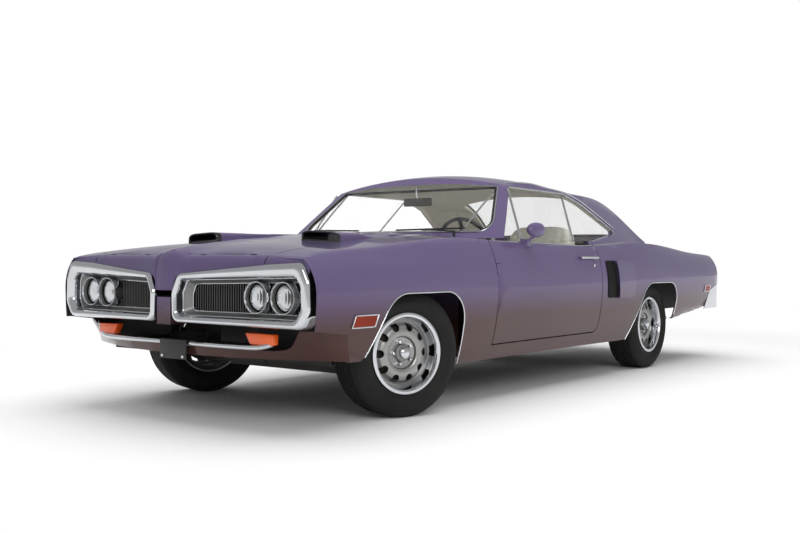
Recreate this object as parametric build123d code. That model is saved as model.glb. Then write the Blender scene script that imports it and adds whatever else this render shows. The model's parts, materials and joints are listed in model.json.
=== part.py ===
from build123d import *
from math import cos, radians, sin
import os

# A two-door hardtop muscle car, in millimetres.
# +X is the car's left, the front faces -Y, +Z is up. The origin is on the ground,
# on the plane of symmetry, at half the car's length.

# ---- chassis ----
wheelbase = 2972
front_axle_y = -1680
rear_axle_y = front_axle_y + wheelbase
front_track = 1516
rear_track = 1504
steer_rest = -18.7          # front wheels as parked, + is towards the car's left
kingpin_x = 690

# ---- wheels ----
tyre_radius = 325
tyre_width = 232
tread_width = 168
shoulder_drop = 14
bead_width = 176
rim_radius = 204
rim_width = 190
rim_wall = 9
trim_ring_proud = 6
disc_face = 56              # disc face outboard of the wheel's middle
disc_thickness = 9
disc_radius = 166
cap_radius = 34
cap_proud = 30
slot_count = 10
slot_inner_radius = 114
slot_outer_radius = 150
slot_half_angle = 11
lug_count = 5
lug_circle = 57
lug_radius = 10
lug_height = 16
lug_seat = 8
spindle_radius = 18
spindle_clearance = 0.05
hub_radius = 62
hub_back = -42              # back face of the hub, inboard of the wheel's middle

# ---- sheet and gaps ----
thin_sheet = 4
panel_sheet = 12
roof_sheet = 30
floor_sheet = 8
glass_thickness = 6
glass_inset = 4
panel_gap = 7
lid_gap = 14
seat_gap = 0.3
outside = 1100              # half-width that is clear of the whole car
above = 1500                # height that is clear of the whole car
ahead_of_car = -2800
behind_car = 2800

# ---- where the panels meet ----
nose_y = -2560
loop_rear_y = -2508
tail_y = 2612
tail_face_z = 606
tail_bow = 112              # how far the tail's corners lie ahead of its middle
tail_corner_x = 930
tail_sweep = 25             # how much further the tail falls back beyond its corner
hood_rear_y = -1085
hood_half_front = 628
hood_half_rear = 690
door_front_y = -1022
door_rear_y = 282
door_bottom_z = 330
door_inner_x = 826
door_corner = 60
door_lead_bevel = 6
door_flank_x = 952
door_relief = (60, 6)       # width and depth of the step along its rear edge
deck_front_y = 1500
deck_rear_y = 2500
deck_half_width = 700
deck_taper = 20             # how much narrower the lid is at its rear
belt_z = 880

hood_front_y = -2548
scoop_x = (318, 560)
scoop_y = (-1945, -1480)
scoop_height = 62
scoop_rim = 12
scoop_mouth_depth = 90
cowl_wall_y = -970
cowl_rear_y = -600
cowl_wall_half = 690
plenum_floor_z = 880
post_front_y = -1110
post_depth = 74
tail_lamp_slope = 0.12      # fall of a lamp's top towards the middle, per length
# Columns: the (inner, outer) x and the (low, high) z of each lamp, from the middle out.
tail_lamp_cells = [((250, 440), (668, 740)), ((452, 640), (668, 762)), ((652, 840), (668, 784))]


# ---- front end ----
loop_outline = [(72, 490), (850, 482), (908, 560), (902, 700), (862, 790), (640, 778), (108, 732), (66, 640)]
loop_radii = [40, 50, 70, 60, 45, 200, 40, 60]
loop_opening = [(100, 526), (818, 524), (846, 580), (842, 680), (812, 716), (640, 712), (128, 698), (98, 630)]
loop_opening_radii = [30, 40, 50, 40, 30, 150, 25, 40]
loop_sweep = 5.2            # degrees that each loop's outer end falls back
loop_front_y = -2612
loop_depth = 96
loop_edge = 16              # rounding of the loop's front edges
liner_sheet = 5
bar_count = 24
bar_width = 6
bar_depth = 14
bar_span = (130, 478)
bar_band = (545, 684)
bar_rail = 8                # thickness of the frame round the bars
bar_setback = 40
bar_frame_depth = 240
lamp_places = ((556, 622), (712, 622))      # (x, z) of the left lamps
lamp_radius = 66
bezel_radius = 75
bezel_length = 70
bezel_wall = 7
bezel_floor = 20
lens_setback = 18
lamp_front_y = -2515
nose_half = 50
nose_outline = [(-1, 648), (52, 648), (56, 730), (98, 752), (112, 860), (-1, 860)]     # (x, z)
nose_radii = [0, 0, 40, 20, 0, 0]
nose_plan = [(-1, -2590), (112, -2562), (112, -2400), (-1, -2400)]
nose_profile = [(-2700, 0), (-2400, 0), (-2400, 866), (-2560, 840), (-2594, 780), (-2594, 0)]     # (y, z)
nose_profile_radii = [0, 0, 0, 30, 40, 0]
lip_outline = [(98, 738), (110, 742), (236, 766), (495, 786), (627, 790), (627, 860), (98, 860)]
lip_depth = 48
lip_setback = 20            # lip behind the loop's front
nose_hollow = ((-1, nose_half - 14), (-2570, -2400), (0, 780))
filler_front_y = -2590
filler_z = (479, 640)
lip_profile = [(-2700, 0), (-2400, 0), (-2400, 858), (-2548, 815), (-2584, 790), (-2700, 700)]     # (y, z)
# Columns: station y, half-width and crown z of the hood's raised middle.
ridge_stations = [(-2576, 106, 838), (-2400, 150, 872), (-2082, 210, 930), (-1750, 250, 950)]
support_y = -2270
support_sheet = 10
support_half = 800
support_z = (300, 770)
radiator_opening = (-1, 330, 380, 720)
turn_signal_x = (466, 647)
turn_signal_z = (402, 456)
turn_signal_y = (-2500, -2462)
turn_signal_stem_z = (430, 450)
lower_bar_half = 620
stay_x = (345, 375)
lower_bar_z = 386
lower_bar_y = -2500
lower_bar_size = (26, 22)
plate_half = 98
plate_z = (306, 400)
plate_y = -2528
valance_half = 926
valance_front_y = -2500
valance_sheet = 6
valance_z = (312, 478)
valance_tray_z = (322, 326)
valance_tray_half = 700
valance_profile = [(ahead_of_car, 312), (-2266, 322), (-2305, 451), (-2480, 474), (ahead_of_car, 474)]   # (y, z)
valance_opening = [(-1, 372), (640, 372), (730, 400), (775, 500), (-1, 500)]                 # (x, z)
front_marker = ((-2277, 486), (-2115, 486), (-2095, 542), (-2257, 542))     # (y, z)
rear_marker = ((2167, 554), (2295, 554), (2303, 603), (2175, 603))
marker_sheet = 6
bumper_half = 936
bumper_rear_y = 2650
bumper_z = (412, 606)
bumper_radii = [0, 300, 120, 60, 0, 0]
bumper_arm_x = (360, 420)
bumper_arm_z = (470, 500)
bumper_wall = 5

# ---- underbody ----
sill_x = (800, 868)
sill_front_y = -1200
sill_rear_y = 760
sill_bottom_z = 247
floor_z = 262
axle_floor_z = 470
trunk_floor_z = 400
trunk_wall_z = 640          # top of the tub's rear wall
house_top_z = 760
shelf_half = 640
floor_half = 600
rail_x = (385, 455)
rail_z = (300, 400)
tunnel_half = 150
driveline_z = 330           # underside of the engine block's sides
tunnel_top_z = 440
shelf_z = 872
bulkhead_y = 1150
kick_y = 640                # step up from the cabin floor to the floor over the axle
trunk_front_y = 1660
trunk_rear_y = 2552
arm_heights = (205, 452)
leaf_x = (530, 590)
leaf_outline = [
    (640, 262), (640, 246), (rear_axle_y, 262), (1940, 300), (1940, 316), (rear_axle_y, 286),
]                                                                                     # (y, z)
# Columns: x, y, z of the corners of the left exhaust pipe.
exhaust_route = [
    (235, -1500, 225), (330, -1200, 225), (330, 700, 225),
    (440, 900, 425), (440, 1500, 425), (440, 1720, 310),
]
pipe_radius = 26
tip_radius = 28
muffler_size = (150, 110, 280)      # width, height and half-length
muffler_y = 1990

seat_x = (172, 690)
dash_half = 765
dash_front_y = cowl_wall_y + seat_gap
dash_outline = [
    (dash_front_y, 700), (dash_front_y, 890), (-900, 902), (-650, 896), (-610, 850), (-640, 700),
]
dash_radii = [0, 0, 20, 30, 20, 40]

# ---- steering wheel ----
steering_wheel_centre = (370, -470, 885)
steering_wheel_radius = 190
column_tilt = 25
column_radius = 26
column_shaft_radius = 12

# ---- hinges ----
door_hinge_x = 925
door_hinge_setback = 25
door_hinge_heights = (500, 760)
hinge_slot_height = 44
hinge_pin_reach = 15        # pin beyond each end of its slot
hinge_arm = 62              # leaf from the axis to the post
hinge_leaf = 12
pin_radius = 4
eye_radius = 8
pin_clearance = 0.05
lid_hinge_x = 200
lid_hinge_drop = 12         # axis below the skin
lid_hinge_setback = 8       # axis inside the lid's hinged edge
lid_eye_radius = 6.5
lid_lug_width = 12
hinge_side_gap = 2

# Half-sections of the lower body, from nose to tail.
# Columns: station y, bottom z, sill x, widest x, widest z, shoulder x, shoulder z, crown z.
body_stations = [
    (-2560, 300, 880, 926, 640, 852, 786, 812),
    (-2300, 285, 885, 946, 645, 864, 846, 882),
    (-1950, 265, 890, 954, 650, 872, 893, 934),
    (-1500, 250, 890, 956, 650, 876, 920, 955),
    (-1000, 245, 882, 952, 640, 880, 911, 962),
    (-300, 245, 880, 950, 640, 886, 898, 950),
    (300, 245, 882, 952, 650, 896, 894, 945),
    (930, 250, 890, 962, 665, 902, 924, 962),
    (1500, 280, 895, 964, 675, 890, 906, 960),
    (2250, 330, 890, 950, 680, 868, 856, 918),
    (2640, 360, 872, 922, 680, 846, 828, 872),
]

# Half-sections of the roof and its pillars, from the windshield back.
# Columns: station y, half-width at the belt, rail x, rail z, crown z.
roof_stations = [
    (-1000, 884, 690, 1235, 1310),
    (-450, 884, 672, 1262, 1338),
    (100, 880, 662, 1268, 1352),
    (600, 868, 640, 1252, 1332),
    (1050, 832, 640, 1178, 1232),
    (1260, 800, 690, 1058, 1096),
    (1450, 772, 740, 944, 962),
]

# ---- outlines shared by pieces that meet, as (y, z) unless they say otherwise ----
front_arch = [(-2255, 150), (-1977, 636), (-1362, 636), (-1345, 150)]
front_arch_radii = [0, 190, 170, 0]
rear_arch = [(724, 150), (990, 640), (1575, 640), (1560, 150)]
rear_arch_radii = [0, 180, 150, 0]
rear_bumper_edge = [(2120, 150), (2192, 412), (2330, 560), (2500, 606), (behind_car, 606), (behind_car, 150)]
valance_edge = [(-2210, 150), (-2300, 455), (-2480, 478), (ahead_of_car, 478), (ahead_of_car, 150)]
side_slot = [(344, 800), (493, 800), (524, 548), (366, 548)]
side_slot_radii = [20, 12, 12, 20]
side_slot_depth = 4
side_panel = [(487, 800), (770, 795), (806, 720), (806, 600), (790, 545), (519, 545)]
side_panel_radii = [3, 60, 60, 50, 25, 3]
side_mouth = [(480, 786), (610, 782), (630, 562), (510, 562)]
side_panel_turn = 3.6       # degrees that its front stands out, about its rear edge
side_panel_rear = (925, 806)
side_panel_wall = 6
handle_y = (-6, 236)
handle_z = (811, 827)
handle_x = (938, 952)
handle_foot = 26
pillar_foot = 3
lid_cut_z = 300             # the lids' cuts reach down to here
rear_glass_z = belt_z + 60
glass_reach = (-1100, -380)  # along Y, clear of the windshield
flank_inner_x = 840
side_window = [
    (-800, 925), (400, 930), (800, 985), (835, 1008), (480, 1183), (235, 1247), (-462, 1252),
]
window_middle_z = 1100
side_window_radii = [0, 80, 15, 12, 150, 100, 25]
windshield_low = (-930, 948)
windshield_high = (-530, 1290)
windshield_bow = 264        # how far its surface falls back at the half-width outside
windshield_edge = [(-30, 966), (750, 966), (600, 1262), (300, 1282), (-30, 1286)]   # (x, z)
windshield_radii = [0, 50, 50, 0, 0]
rear_window_edge = [(-30, 820), (520, 820), (590, 1370), (-30, 1390)]               # (x, y)
rear_window_radii = [0, 60, 60, 0]
glass_split_line = ((72, 900), (246, 1400))     # rear edge of the door glass
mirror_centre = (962, -612, 978)
mirror_size = (62, 140, 84)
mirror_radius = 28
mirror_foot = [(872, -590), (905, -580), (905, -640), (872, -650)]                   # (x, y)
mirror_foot_z = (880, 925)
mirror_stem_x = 888
mirror_stem_radius = 11


def block(x_range, y_range, z_range):
    ranges = (x_range, y_range, z_range)
    size = [high - low for low, high in ranges]
    centre = [(high + low) / 2 for low, high in ranges]
    return Pos(*centre) * Box(*size)


def side_prism(points, x_range, radius=0):
    """Prism along X with a profile of (y, z) points."""
    face = make_face(FilletPolyline(*points, radius=radius, close=True))
    return extrude(Plane.YZ.offset(x_range[0]) * face, x_range[1] - x_range[0], dir=(1, 0, 0))


def plan_prism(points, z_range, radius=0):
    """Prism along Z with a profile of (x, y) points."""
    face = make_face(FilletPolyline(*points, radius=radius, close=True))
    return extrude(Plane.XY.offset(z_range[0]) * face, z_range[1] - z_range[0], dir=(0, 0, 1))


def front_prism(points, y_range, radius=0):
    """Prism along Y with a profile of (x, z) points."""
    face = make_face(FilletPolyline(*points, radius=radius, close=True))
    return extrude(Plane.XZ.offset(-y_range[0]) * face, y_range[1] - y_range[0], dir=(0, 1, 0))


def rod(start, end, radius):
    """Round bar between two points."""
    start = Vector(*start)
    run = Vector(*end) - start
    bar = Cylinder(radius, run.length, align=(Align.CENTER, Align.CENTER, Align.MIN))
    return Plane(start, z_dir=run) * bar


def both(piece):
    """The piece with its mirror image on the car's other side."""
    return piece + mirror(piece, about=Plane.YZ)


def save(name, piece):
    piece.label = name
    export_step(piece, f"parts/{name}.step")
    print(name, len(piece.solids()))


def save_sides(name, piece):
    save(f"{name}_left", piece)
    save(f"{name}_right", mirror(piece, about=Plane.YZ))


# ---- volumes that the panels are cut from ----
def body_half(inset=0, open_bottom=False):
    """Half of the lower body, made smaller all round by inset."""
    faces = []
    for y, bottom, sill, wide, wide_z, shoulder, shoulder_z, crown in body_stations:
        low = bottom - (2 * panel_sheet if open_bottom else 1)
        foot = (sill - inset, bottom)
        flank = (wide - inset, wide_z)
        crease = (shoulder - inset, shoulder_z - inset)
        top = (0, crown - inset)
        edges = [
            Line((0, low), (sill - inset, low)),
            Line((sill - inset, low), foot),
            TangentArc(flank, foot, tangent=(0, -1)),
            TangentArc(flank, crease, tangent=(0, 1)),
            TangentArc(top, crease, tangent=(1, 0)),
            Line(top, (0, low)),
        ]
        faces.append(Plane.XZ.offset(-y) * make_face(edges))
    return loft(faces)


def roof_half(inset=0):
    """Half of the roof volume above the belt, made smaller all round by inset."""
    faces = []
    base = belt_z - 20
    for y, belt, rail, rail_z, crown in roof_stations:
        corner = (rail - inset, rail_z - inset)
        top = (0, crown - inset)
        edges = [
            Line((0, base), (belt - inset, base)),
            Line((belt - inset, base), corner),
            TangentArc(top, corner, tangent=(1, 0)),
            Line(top, (0, base)),
        ]
        faces.append(Plane.XZ.offset(-y) * make_face(edges))
    return loft(faces)


def ahead_of_windshield(back=0):
    """Everything ahead of the windshield's outer face moved back by a distance."""
    low_y, low_z = windshield_low
    high_y, high_z = windshield_high
    rake = Vector(0, high_y - low_y, high_z - low_z)
    middle = low_y + back
    corner = middle + windshield_bow
    edges = [
        ThreePointArc((-outside, corner), (0, middle), (outside, corner)),
        Polyline(
            (outside, corner), (outside, middle - above), (-outside, middle - above), (-outside, corner),
        ),
    ]
    face = Pos(0, 0, low_z) * make_face(edges)
    return extrude(Pos(-rake) * face, rake.length * 3, dir=rake.normalized())


def roof_body(inset=0):
    """Half of the roof volume behind the windshield's face."""
    return roof_half(inset) - ahead_of_windshield(inset)


def within_tail(ahead=0):
    """Everything ahead of the tail's bowed face, less a distance."""
    middle = tail_y - ahead
    corner = middle - tail_bow
    edges = [
        ThreePointArc((-tail_corner_x, corner), (0, middle), (tail_corner_x, corner)),
        Polyline(
            (tail_corner_x, corner), (outside, corner - tail_sweep), (outside, ahead_of_car),
            (-outside, ahead_of_car), (-outside, corner - tail_sweep), (-tail_corner_x, corner),
        ),
    ]
    return extrude(make_face(edges), above)


def hood_outline(gap=0):
    rear = hood_rear_y + gap * lid_gap / panel_gap
    front = nose_y - 100
    return [(-gap, front), (hood_half_front + gap, front), (hood_half_rear + gap, rear), (-gap, rear)]


def deck_outline(gap=0):
    front = deck_front_y - gap * lid_gap / panel_gap
    rear = deck_rear_y + gap
    wide = deck_half_width + gap
    return [(-gap, front), (wide, front), (wide - deck_taper, rear), (-gap, rear)]


def door_outline(gap=0):
    front = door_front_y - gap
    rear = door_rear_y + gap
    bottom = door_bottom_z - gap
    return [(front, bottom), (rear, bottom), (rear, above), (front, above)]


body_solid = body_half()
thin_shell = body_solid - body_half(thin_sheet, open_bottom=True)
panel_shell = body_solid - body_half(panel_sheet, open_bottom=True)
roof_solid = roof_body()
glass_shell = roof_body(glass_inset) - roof_body(glass_inset + glass_thickness)


# ---- outer panels ----
def fender():
    hull = thin_shell & block((0, outside), (loop_rear_y, door_front_y - panel_gap), (0, above))
    hull -= side_prism(front_arch, (0, outside), front_arch_radii)
    hull -= side_prism(valance_edge, (0, outside))
    cowl_corner = block((-1, hood_half_rear + panel_gap), (hood_rear_y - 60, above), (lid_cut_z, above))
    hull -= cowl_corner
    return hull - plan_prism(hood_outline(panel_gap), (lid_cut_z, above))


def quarter():
    hull = panel_shell & block((0, outside), (door_front_y - panel_gap, tail_y), (0, above))
    hull &= within_tail(panel_sheet)
    hull -= side_prism(door_outline(panel_gap), (floor_half, outside), [0, door_corner + panel_gap, 0, 0])
    belt_end = (sill_x[1] + 2, floor_half)
    hull -= block((-1, belt_end[0]), (sill_front_y, belt_end[1]), (belt_z - 60, above))
    hull -= roof_solid
    hull -= plan_prism(deck_outline(panel_gap), (lid_cut_z, above))
    sill_z = (sill_bottom_z, door_bottom_z - panel_gap)
    hull += block(sill_x, (sill_front_y, sill_rear_y), sill_z)
    hull -= side_prism(rear_arch, (0, outside), rear_arch_radii)
    slot = side_prism(side_slot, (flank_inner_x, outside), side_slot_radii)
    hull = (hull + side_scoop()) - (slot - body_half(side_slot_depth))
    return hull - side_prism(rear_bumper_edge, (0, outside))


def side_panel_body(inset=0):
    """Half of the body turned out a little about the side panel's rear edge."""
    return body_half(inset).rotate(Axis((*side_panel_rear, 0), (0, 0, 1)), side_panel_turn)


def side_scoop():
    """Raised panel behind the quarter's slot, hollow at its mouth."""
    panel = side_panel_body() & side_prism(side_panel, (flank_inner_x, outside), side_panel_radii)
    mouth = side_panel_body(side_panel_wall) & side_prism(side_mouth, (flank_inner_x, outside))
    return panel - body_half(panel_sheet / 2) - (mouth - body_half(side_slot_depth))


def roof():
    half = roof_solid - roof_body(roof_sheet)
    half -= side_prism(side_window, (0, outside), side_window_radii)
    half -= front_prism(windshield_edge, glass_reach, windshield_radii)
    half -= plan_prism(rear_window_edge, (rear_glass_z, above), rear_window_radii)
    below_glass = (0, side_window[0][1] + pillar_foot)
    half -= block((0, outside), (glass_reach[0], door_rear_y + panel_gap), below_glass)
    return both(half)


def windshield():
    pane = roof_body(glass_inset) & ahead_of_windshield(glass_inset + glass_thickness)
    return both(pane & front_prism(windshield_edge, glass_reach, windshield_radii))


def rear_window():
    return both(glass_shell & plan_prism(rear_window_edge, (rear_glass_z, above), rear_window_radii))


def side_glass():
    """Left side glass from the windshield pillar to the rear pillar, before it is cut."""
    return glass_shell & side_prism(side_window, (floor_half - 100, outside), side_window_radii)


def glass_split(gap):
    """Everything ahead of the joint between the door glass and the quarter glass."""
    low, high = glass_split_line
    front = glass_reach[0]
    split = [(low[0] - gap, 0), (low[0] - gap, low[1]), (high[0] - gap, high[1])]
    return side_prism([(front, 0), *split, (front, high[1])], (0, outside))


def door_glass():
    pane = side_glass() & glass_split(panel_gap)
    pane &= side_prism(grown_window(-panel_gap), (floor_half - 100, outside), side_window_radii)
    return pane - body_solid


def quarter_glass():
    pane = side_glass() - glass_split(0)
    return both(pane - body_solid)


def grown_window(by):
    """The side window's outline with its top and front edges moved out by a distance."""
    return [
        (y + (-by if y < 0 else 0), z + (by if z > window_middle_z else 0))
        for y, z in side_window
    ]


def door_hinge_axis(low_z, height, radius):
    start = (door_hinge_x, door_front_y + door_hinge_setback, low_z)
    return rod(start, (start[0], start[1], low_z + height), radius)


def door():
    bevel_x = door_flank_x - door_lead_bevel
    lead = [
        (floor_half, door_front_y), (bevel_x, door_front_y),
        (outside, door_front_y + outside - bevel_x), (outside, door_rear_y), (floor_half, door_rear_y),
    ]
    panel = body_solid & block((door_inner_x, outside), (door_front_y, door_rear_y), (door_bottom_z, above))
    panel &= side_prism(door_outline(), (floor_half, outside), [0, door_corner, 0, 0])
    panel &= plan_prism(lead, (0, above))
    wide, deep = door_relief
    panel -= block((door_inner_x - 1, door_inner_x + wide), (door_rear_y - deep, outside), (0, above))
    hinge_y = door_front_y + door_hinge_setback
    for height in door_hinge_heights:
        slot_z = (height - hinge_slot_height / 2, height + hinge_slot_height / 2)
        slot_x = (door_inner_x - 1, door_hinge_x + eye_radius + 1)
        panel -= block(slot_x, (door_front_y - 1, hinge_y + eye_radius + 9), slot_z)
        bore_reach = hinge_pin_reach + 3
        panel -= door_hinge_axis(
            slot_z[0] - bore_reach, hinge_slot_height + 2 * bore_reach, pin_radius + pin_clearance,
        )
    return panel + door_handle()


def door_handle():
    """Pull handle of the left door on its two feet."""
    bar = block(handle_x, handle_y, handle_z)
    bar = fillet(bar.edges(), 5)
    foot_x = (sill_x[1] + 32, handle_x[0] + 2)
    foot_z = (handle_z[0] + 3, handle_z[1] - 3)
    for y in (handle_y[0], handle_y[1] - handle_foot):
        bar += block(foot_x, (y + 6, y + handle_foot - 6), foot_z)
    return bar - body_half(thin_sheet)


def door_mirror():
    """Mirror head, its stalk and its foot, on the left door's belt."""
    x, y, z = mirror_centre
    width, length, height = mirror_size
    head = Pos(x, y, z) * Box(width, length, height)
    head = fillet(head.edges(), mirror_radius)
    head &= block((x - width, x + width), (y - length, y + length / 2 - mirror_radius), (0, above))
    foot = plan_prism(mirror_foot, mirror_foot_z)
    stem = rod((mirror_stem_x, y, mirror_foot_z[1] - 20), (x - 6, y, z - 20), mirror_stem_radius)
    return head + stem + foot


def door_hinges():
    """The body's half of each left door hinge: a leaf, its eye and its pin."""
    hinge_y = door_front_y + door_hinge_setback
    leaf = None
    for height in door_hinge_heights:
        low = height - hinge_slot_height / 2
        eye = door_hinge_axis(low + 4, hinge_slot_height - 8, eye_radius)
        pin = door_hinge_axis(low - hinge_pin_reach, hinge_slot_height + 2 * hinge_pin_reach, pin_radius)
        z_range = (low + 5, low + hinge_slot_height - 5)
        root = door_hinge_x - hinge_arm
        arm = block((root, door_hinge_x), (hinge_y - 5, hinge_y + 5), z_range)
        tail = block((root, root + hinge_leaf), (post_front_y + post_depth, hinge_y + 5), z_range)
        piece = eye + pin + arm + tail
        leaf = piece if leaf is None else leaf + piece
    return leaf


def lid_skin_z(x, y):
    """Height of the lower body's top at a place."""
    stations = [(row[0], row[5], row[6], row[7]) for row in body_stations]
    for (y0, x0, z0, c0), (y1, x1, z1, c1) in zip(stations, stations[1:]):
        if y0 <= y <= y1:
            share = (y - y0) / (y1 - y0)
            shoulder, low, crown = (a + (b - a) * share for a, b in ((x0, x1), (z0, z1), (c0, c1)))
            return crown - (crown - low) * (x / shoulder) ** 2
    raise ValueError("no body at this station")


def lid_hinge(edge_y, inward):
    """The place of a lid's hinge axis beside the edge that it turns about."""
    y = edge_y + inward * lid_hinge_setback
    return y, lid_skin_z(lid_hinge_x, y) - lid_hinge_drop


def lid_lug(edge_y, inward):
    """The lid's left lug, with its bore."""
    y, z = lid_hinge(edge_y, inward)
    x_range = (lid_hinge_x - lid_lug_width, lid_hinge_x)
    eye = rod((x_range[0], y, z), (x_range[1], y, z), lid_eye_radius)
    web = block(x_range, (y - 5, y + 5), (z, z + lid_hinge_drop + 20))
    bore = rod((x_range[0] - 1, y, z), (x_range[1] + 1, y, z), pin_radius)
    return (eye + (web & body_half(2))) - bore


def lid_bracket(edge_y, inward, foot_z):
    """The body's left bracket, with its pin in the lid's lug."""
    y, z = lid_hinge(edge_y, inward)
    x_range = (lid_hinge_x + hinge_side_gap, lid_hinge_x + hinge_side_gap + 10)
    eye = rod((x_range[0], y, z), (x_range[1], y, z), lid_eye_radius)
    post = block(x_range, (y - 6, y + 6), (foot_z, z))
    pin = rod((lid_hinge_x - lid_lug_width, y, z), (x_range[1], y, z), pin_radius - pin_clearance)
    return eye + post + pin


def hood():
    sheet = thin_shell & plan_prism(hood_outline(), (lid_cut_z, above))
    sheet &= block((-1, outside), (hood_front_y, above), (0, above))
    return both(sheet + lid_lug(hood_rear_y, -1) + hood_scoop() + hood_nose())


def hood_scoop():
    """Left scoop: a wedge with an open mouth, sunk into the hood's skin."""
    x0, x1 = scoop_x
    front, rear = scoop_y
    base = lid_skin_z(x1, front) - 20
    high = lid_skin_z(x0, front) + scoop_height
    tail = lid_skin_z(x0, rear) - 2
    outline = [(front, base), (rear, base), (rear, tail), (front + 60, high), (front, high)]
    body = side_prism(outline, scoop_x, [0, 0, 40, 60, 4])
    rim = scoop_rim
    mouth = block((x0 + rim, x1 - rim), (front - 1, front + scoop_mouth_depth), (base + 2 * rim, high - rim))
    return (body - mouth) - body_half(thin_sheet)


def decklid():
    sheet = thin_shell & plan_prism(deck_outline(), (lid_cut_z, above))
    return both(sheet + lid_lug(deck_front_y, 1))


def cowl():
    fender_end = door_front_y - panel_gap
    side = hood_half_rear + panel_gap
    front = hood_rear_y + lid_gap
    rear = cowl_rear_y
    region = [
        (0, front), (side - 1, front), (side - 1, fender_end),
        (outside, fender_end), (outside, rear), (0, rear),
    ]
    top = panel_shell & plan_prism(region, (belt_z - 60, above))
    top -= side_prism(door_outline(panel_gap), (door_inner_x - panel_gap - 6, outside))
    top -= roof_solid
    plenum_z = (plenum_floor_z - floor_sheet, plenum_floor_z)
    plenum = block((0, sill_x[0]), (sill_front_y, cowl_wall_y), plenum_z)
    wall = block((0, cowl_wall_half), (cowl_wall_y - floor_sheet, cowl_wall_y), (plenum_z[0], above))
    wall &= body_half(panel_sheet / 2)
    post_y = (post_front_y, post_front_y + post_depth)
    post = block((sill_x[0], sill_x[1] + 4), post_y, (door_bottom_z - panel_gap, plenum_floor_z))
    firewall = block((0, sill_x[0]), (sill_front_y, sill_front_y + floor_sheet), (floor_z, plenum_z[0]))
    firewall -= block((-1, tunnel_half), (sill_front_y - 1, sill_front_y + floor_sheet + 1), (0, tunnel_top_z))
    side_z = (floor_z + floor_sheet, plenum_floor_z)
    side_wall = block((sill_x[0] - floor_sheet, sill_x[0]), (sill_front_y, post_y[1]), side_z)
    half = top + plenum + wall + post + firewall + side_wall
    return both(half + lid_bracket(hood_rear_y, -1, plenum_floor_z - 1))


def tail_panel():
    face = both(body_solid & block((0, outside), (rear_marker[0][0], behind_car), (tail_face_z, above)))
    face &= within_tail() - within_tail(panel_sheet)
    for x_range, z_range in tail_lamp_cells:
        face -= both(front_prism(tail_lamp_outline(x_range, z_range), (deck_rear_y - 100, behind_car)))
    return face


def tail_lamp_outline(x_range, z_range, gap=0):
    (x0, x1), (z0, z1) = x_range, z_range
    slope = (x1 - x0) * tail_lamp_slope
    return [(x0 + gap, z0 + gap), (x1 - gap, z0 + gap), (x1 - gap, z1 - gap), (x0 + gap, z1 - slope - gap)]


def tail_lamps():
    lamps = None
    for x_range, z_range in tail_lamp_cells:
        lens = front_prism(tail_lamp_outline(x_range, z_range), (deck_rear_y - 100, behind_car))
        lens &= within_tail(2)
        lens -= within_tail(panel_sheet - 2)
        lamps = lens if lamps is None else lamps + lens
    return both(lamps)


# ---- front end ----
def swept(piece):
    """Turns a piece built square to the car so that its outer end falls back."""
    return Pos(0, loop_front_y, 0) * (Rot(0, 0, loop_sweep) * (Pos(0, -loop_front_y, 0) * piece))


def front_loop():
    ring = front_prism(loop_outline, (loop_front_y, loop_front_y + loop_depth), loop_radii)
    ring -= front_prism(loop_opening, (loop_front_y - 1, loop_front_y + loop_depth + 1), loop_opening_radii)
    front_edges = ring.faces().sort_by(Axis.Y)[0].edges()
    return swept(chamfer(front_edges, loop_edge * 0.6))


def grille():
    """Left grille: an open liner that reaches back to the support, and a row of upright bars."""
    front = loop_front_y + loop_depth
    length = support_y - front
    wider = loop_outline_inset(loop_opening, -liner_sheet)
    liner = swept(front_prism(wider, (front, front + length), loop_opening_radii))
    liner &= block((0, outside), (nose_y - 100, support_y), (0, above))
    cavity = swept(front_prism(loop_opening, (front - 1, front + length), loop_opening_radii))
    liner -= cavity & block((0, outside), (nose_y - 100, support_y - liner_sheet), (0, above))
    pitch = (bar_span[1] - bar_span[0]) / (bar_count - 1)
    bars_y = (front + bar_setback, front + bar_setback + bar_depth)
    low, high = bar_band
    rail = bar_rail
    ends = (bar_span[0] - 2 * rail, bar_span[1] + 2 * rail)
    frame = block(ends, bars_y, (low - rail, low)) + block(ends, bars_y, (high, high + rail))
    for index in range(bar_count):
        x = bar_span[0] + index * pitch
        frame += block((x - bar_width / 2, x + bar_width / 2), bars_y, (low - 1, high + 1))
    for x in (ends[0], ends[1] - rail):
        frame += block((x, x + rail), (bars_y[0], bars_y[0] + bar_frame_depth), (low - rail, high + rail))
    return liner + (swept(frame) & block((0, outside), (nose_y, support_y - liner_sheet + 1), (0, above)))


def loop_outline_inset(points, by):
    """An (x, z) outline moved in towards its middle by a distance along each axis."""
    mid_x = sum(x for x, z in points) / len(points)
    mid_z = sum(z for x, z in points) / len(points)
    return [(x + (by if x < mid_x else -by), z + (by if z < mid_z else -by)) for x, z in points]


def headlamps():
    lamps = None
    wall = support_y - liner_sheet
    for x, z in lamp_places:
        front = lamp_front_y + (x - lamp_places[0][0]) * sin(radians(loop_sweep))
        bottom = front + bezel_length - bezel_floor
        bezel = rod((x, front, z), (x, front + bezel_length, z), bezel_radius)
        bezel -= rod((x, front - 1, z), (x, bottom, z), bezel_radius - bezel_wall)
        lens = rod((x, front + lens_setback, z), (x, bottom, z), lamp_radius)
        stem = rod((x, front + bezel_length - 1, z), (x, wall, z), bezel_radius * 0.6)
        piece = bezel + lens + stem
        lamps = piece if lamps is None else lamps + piece
    return lamps


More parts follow.
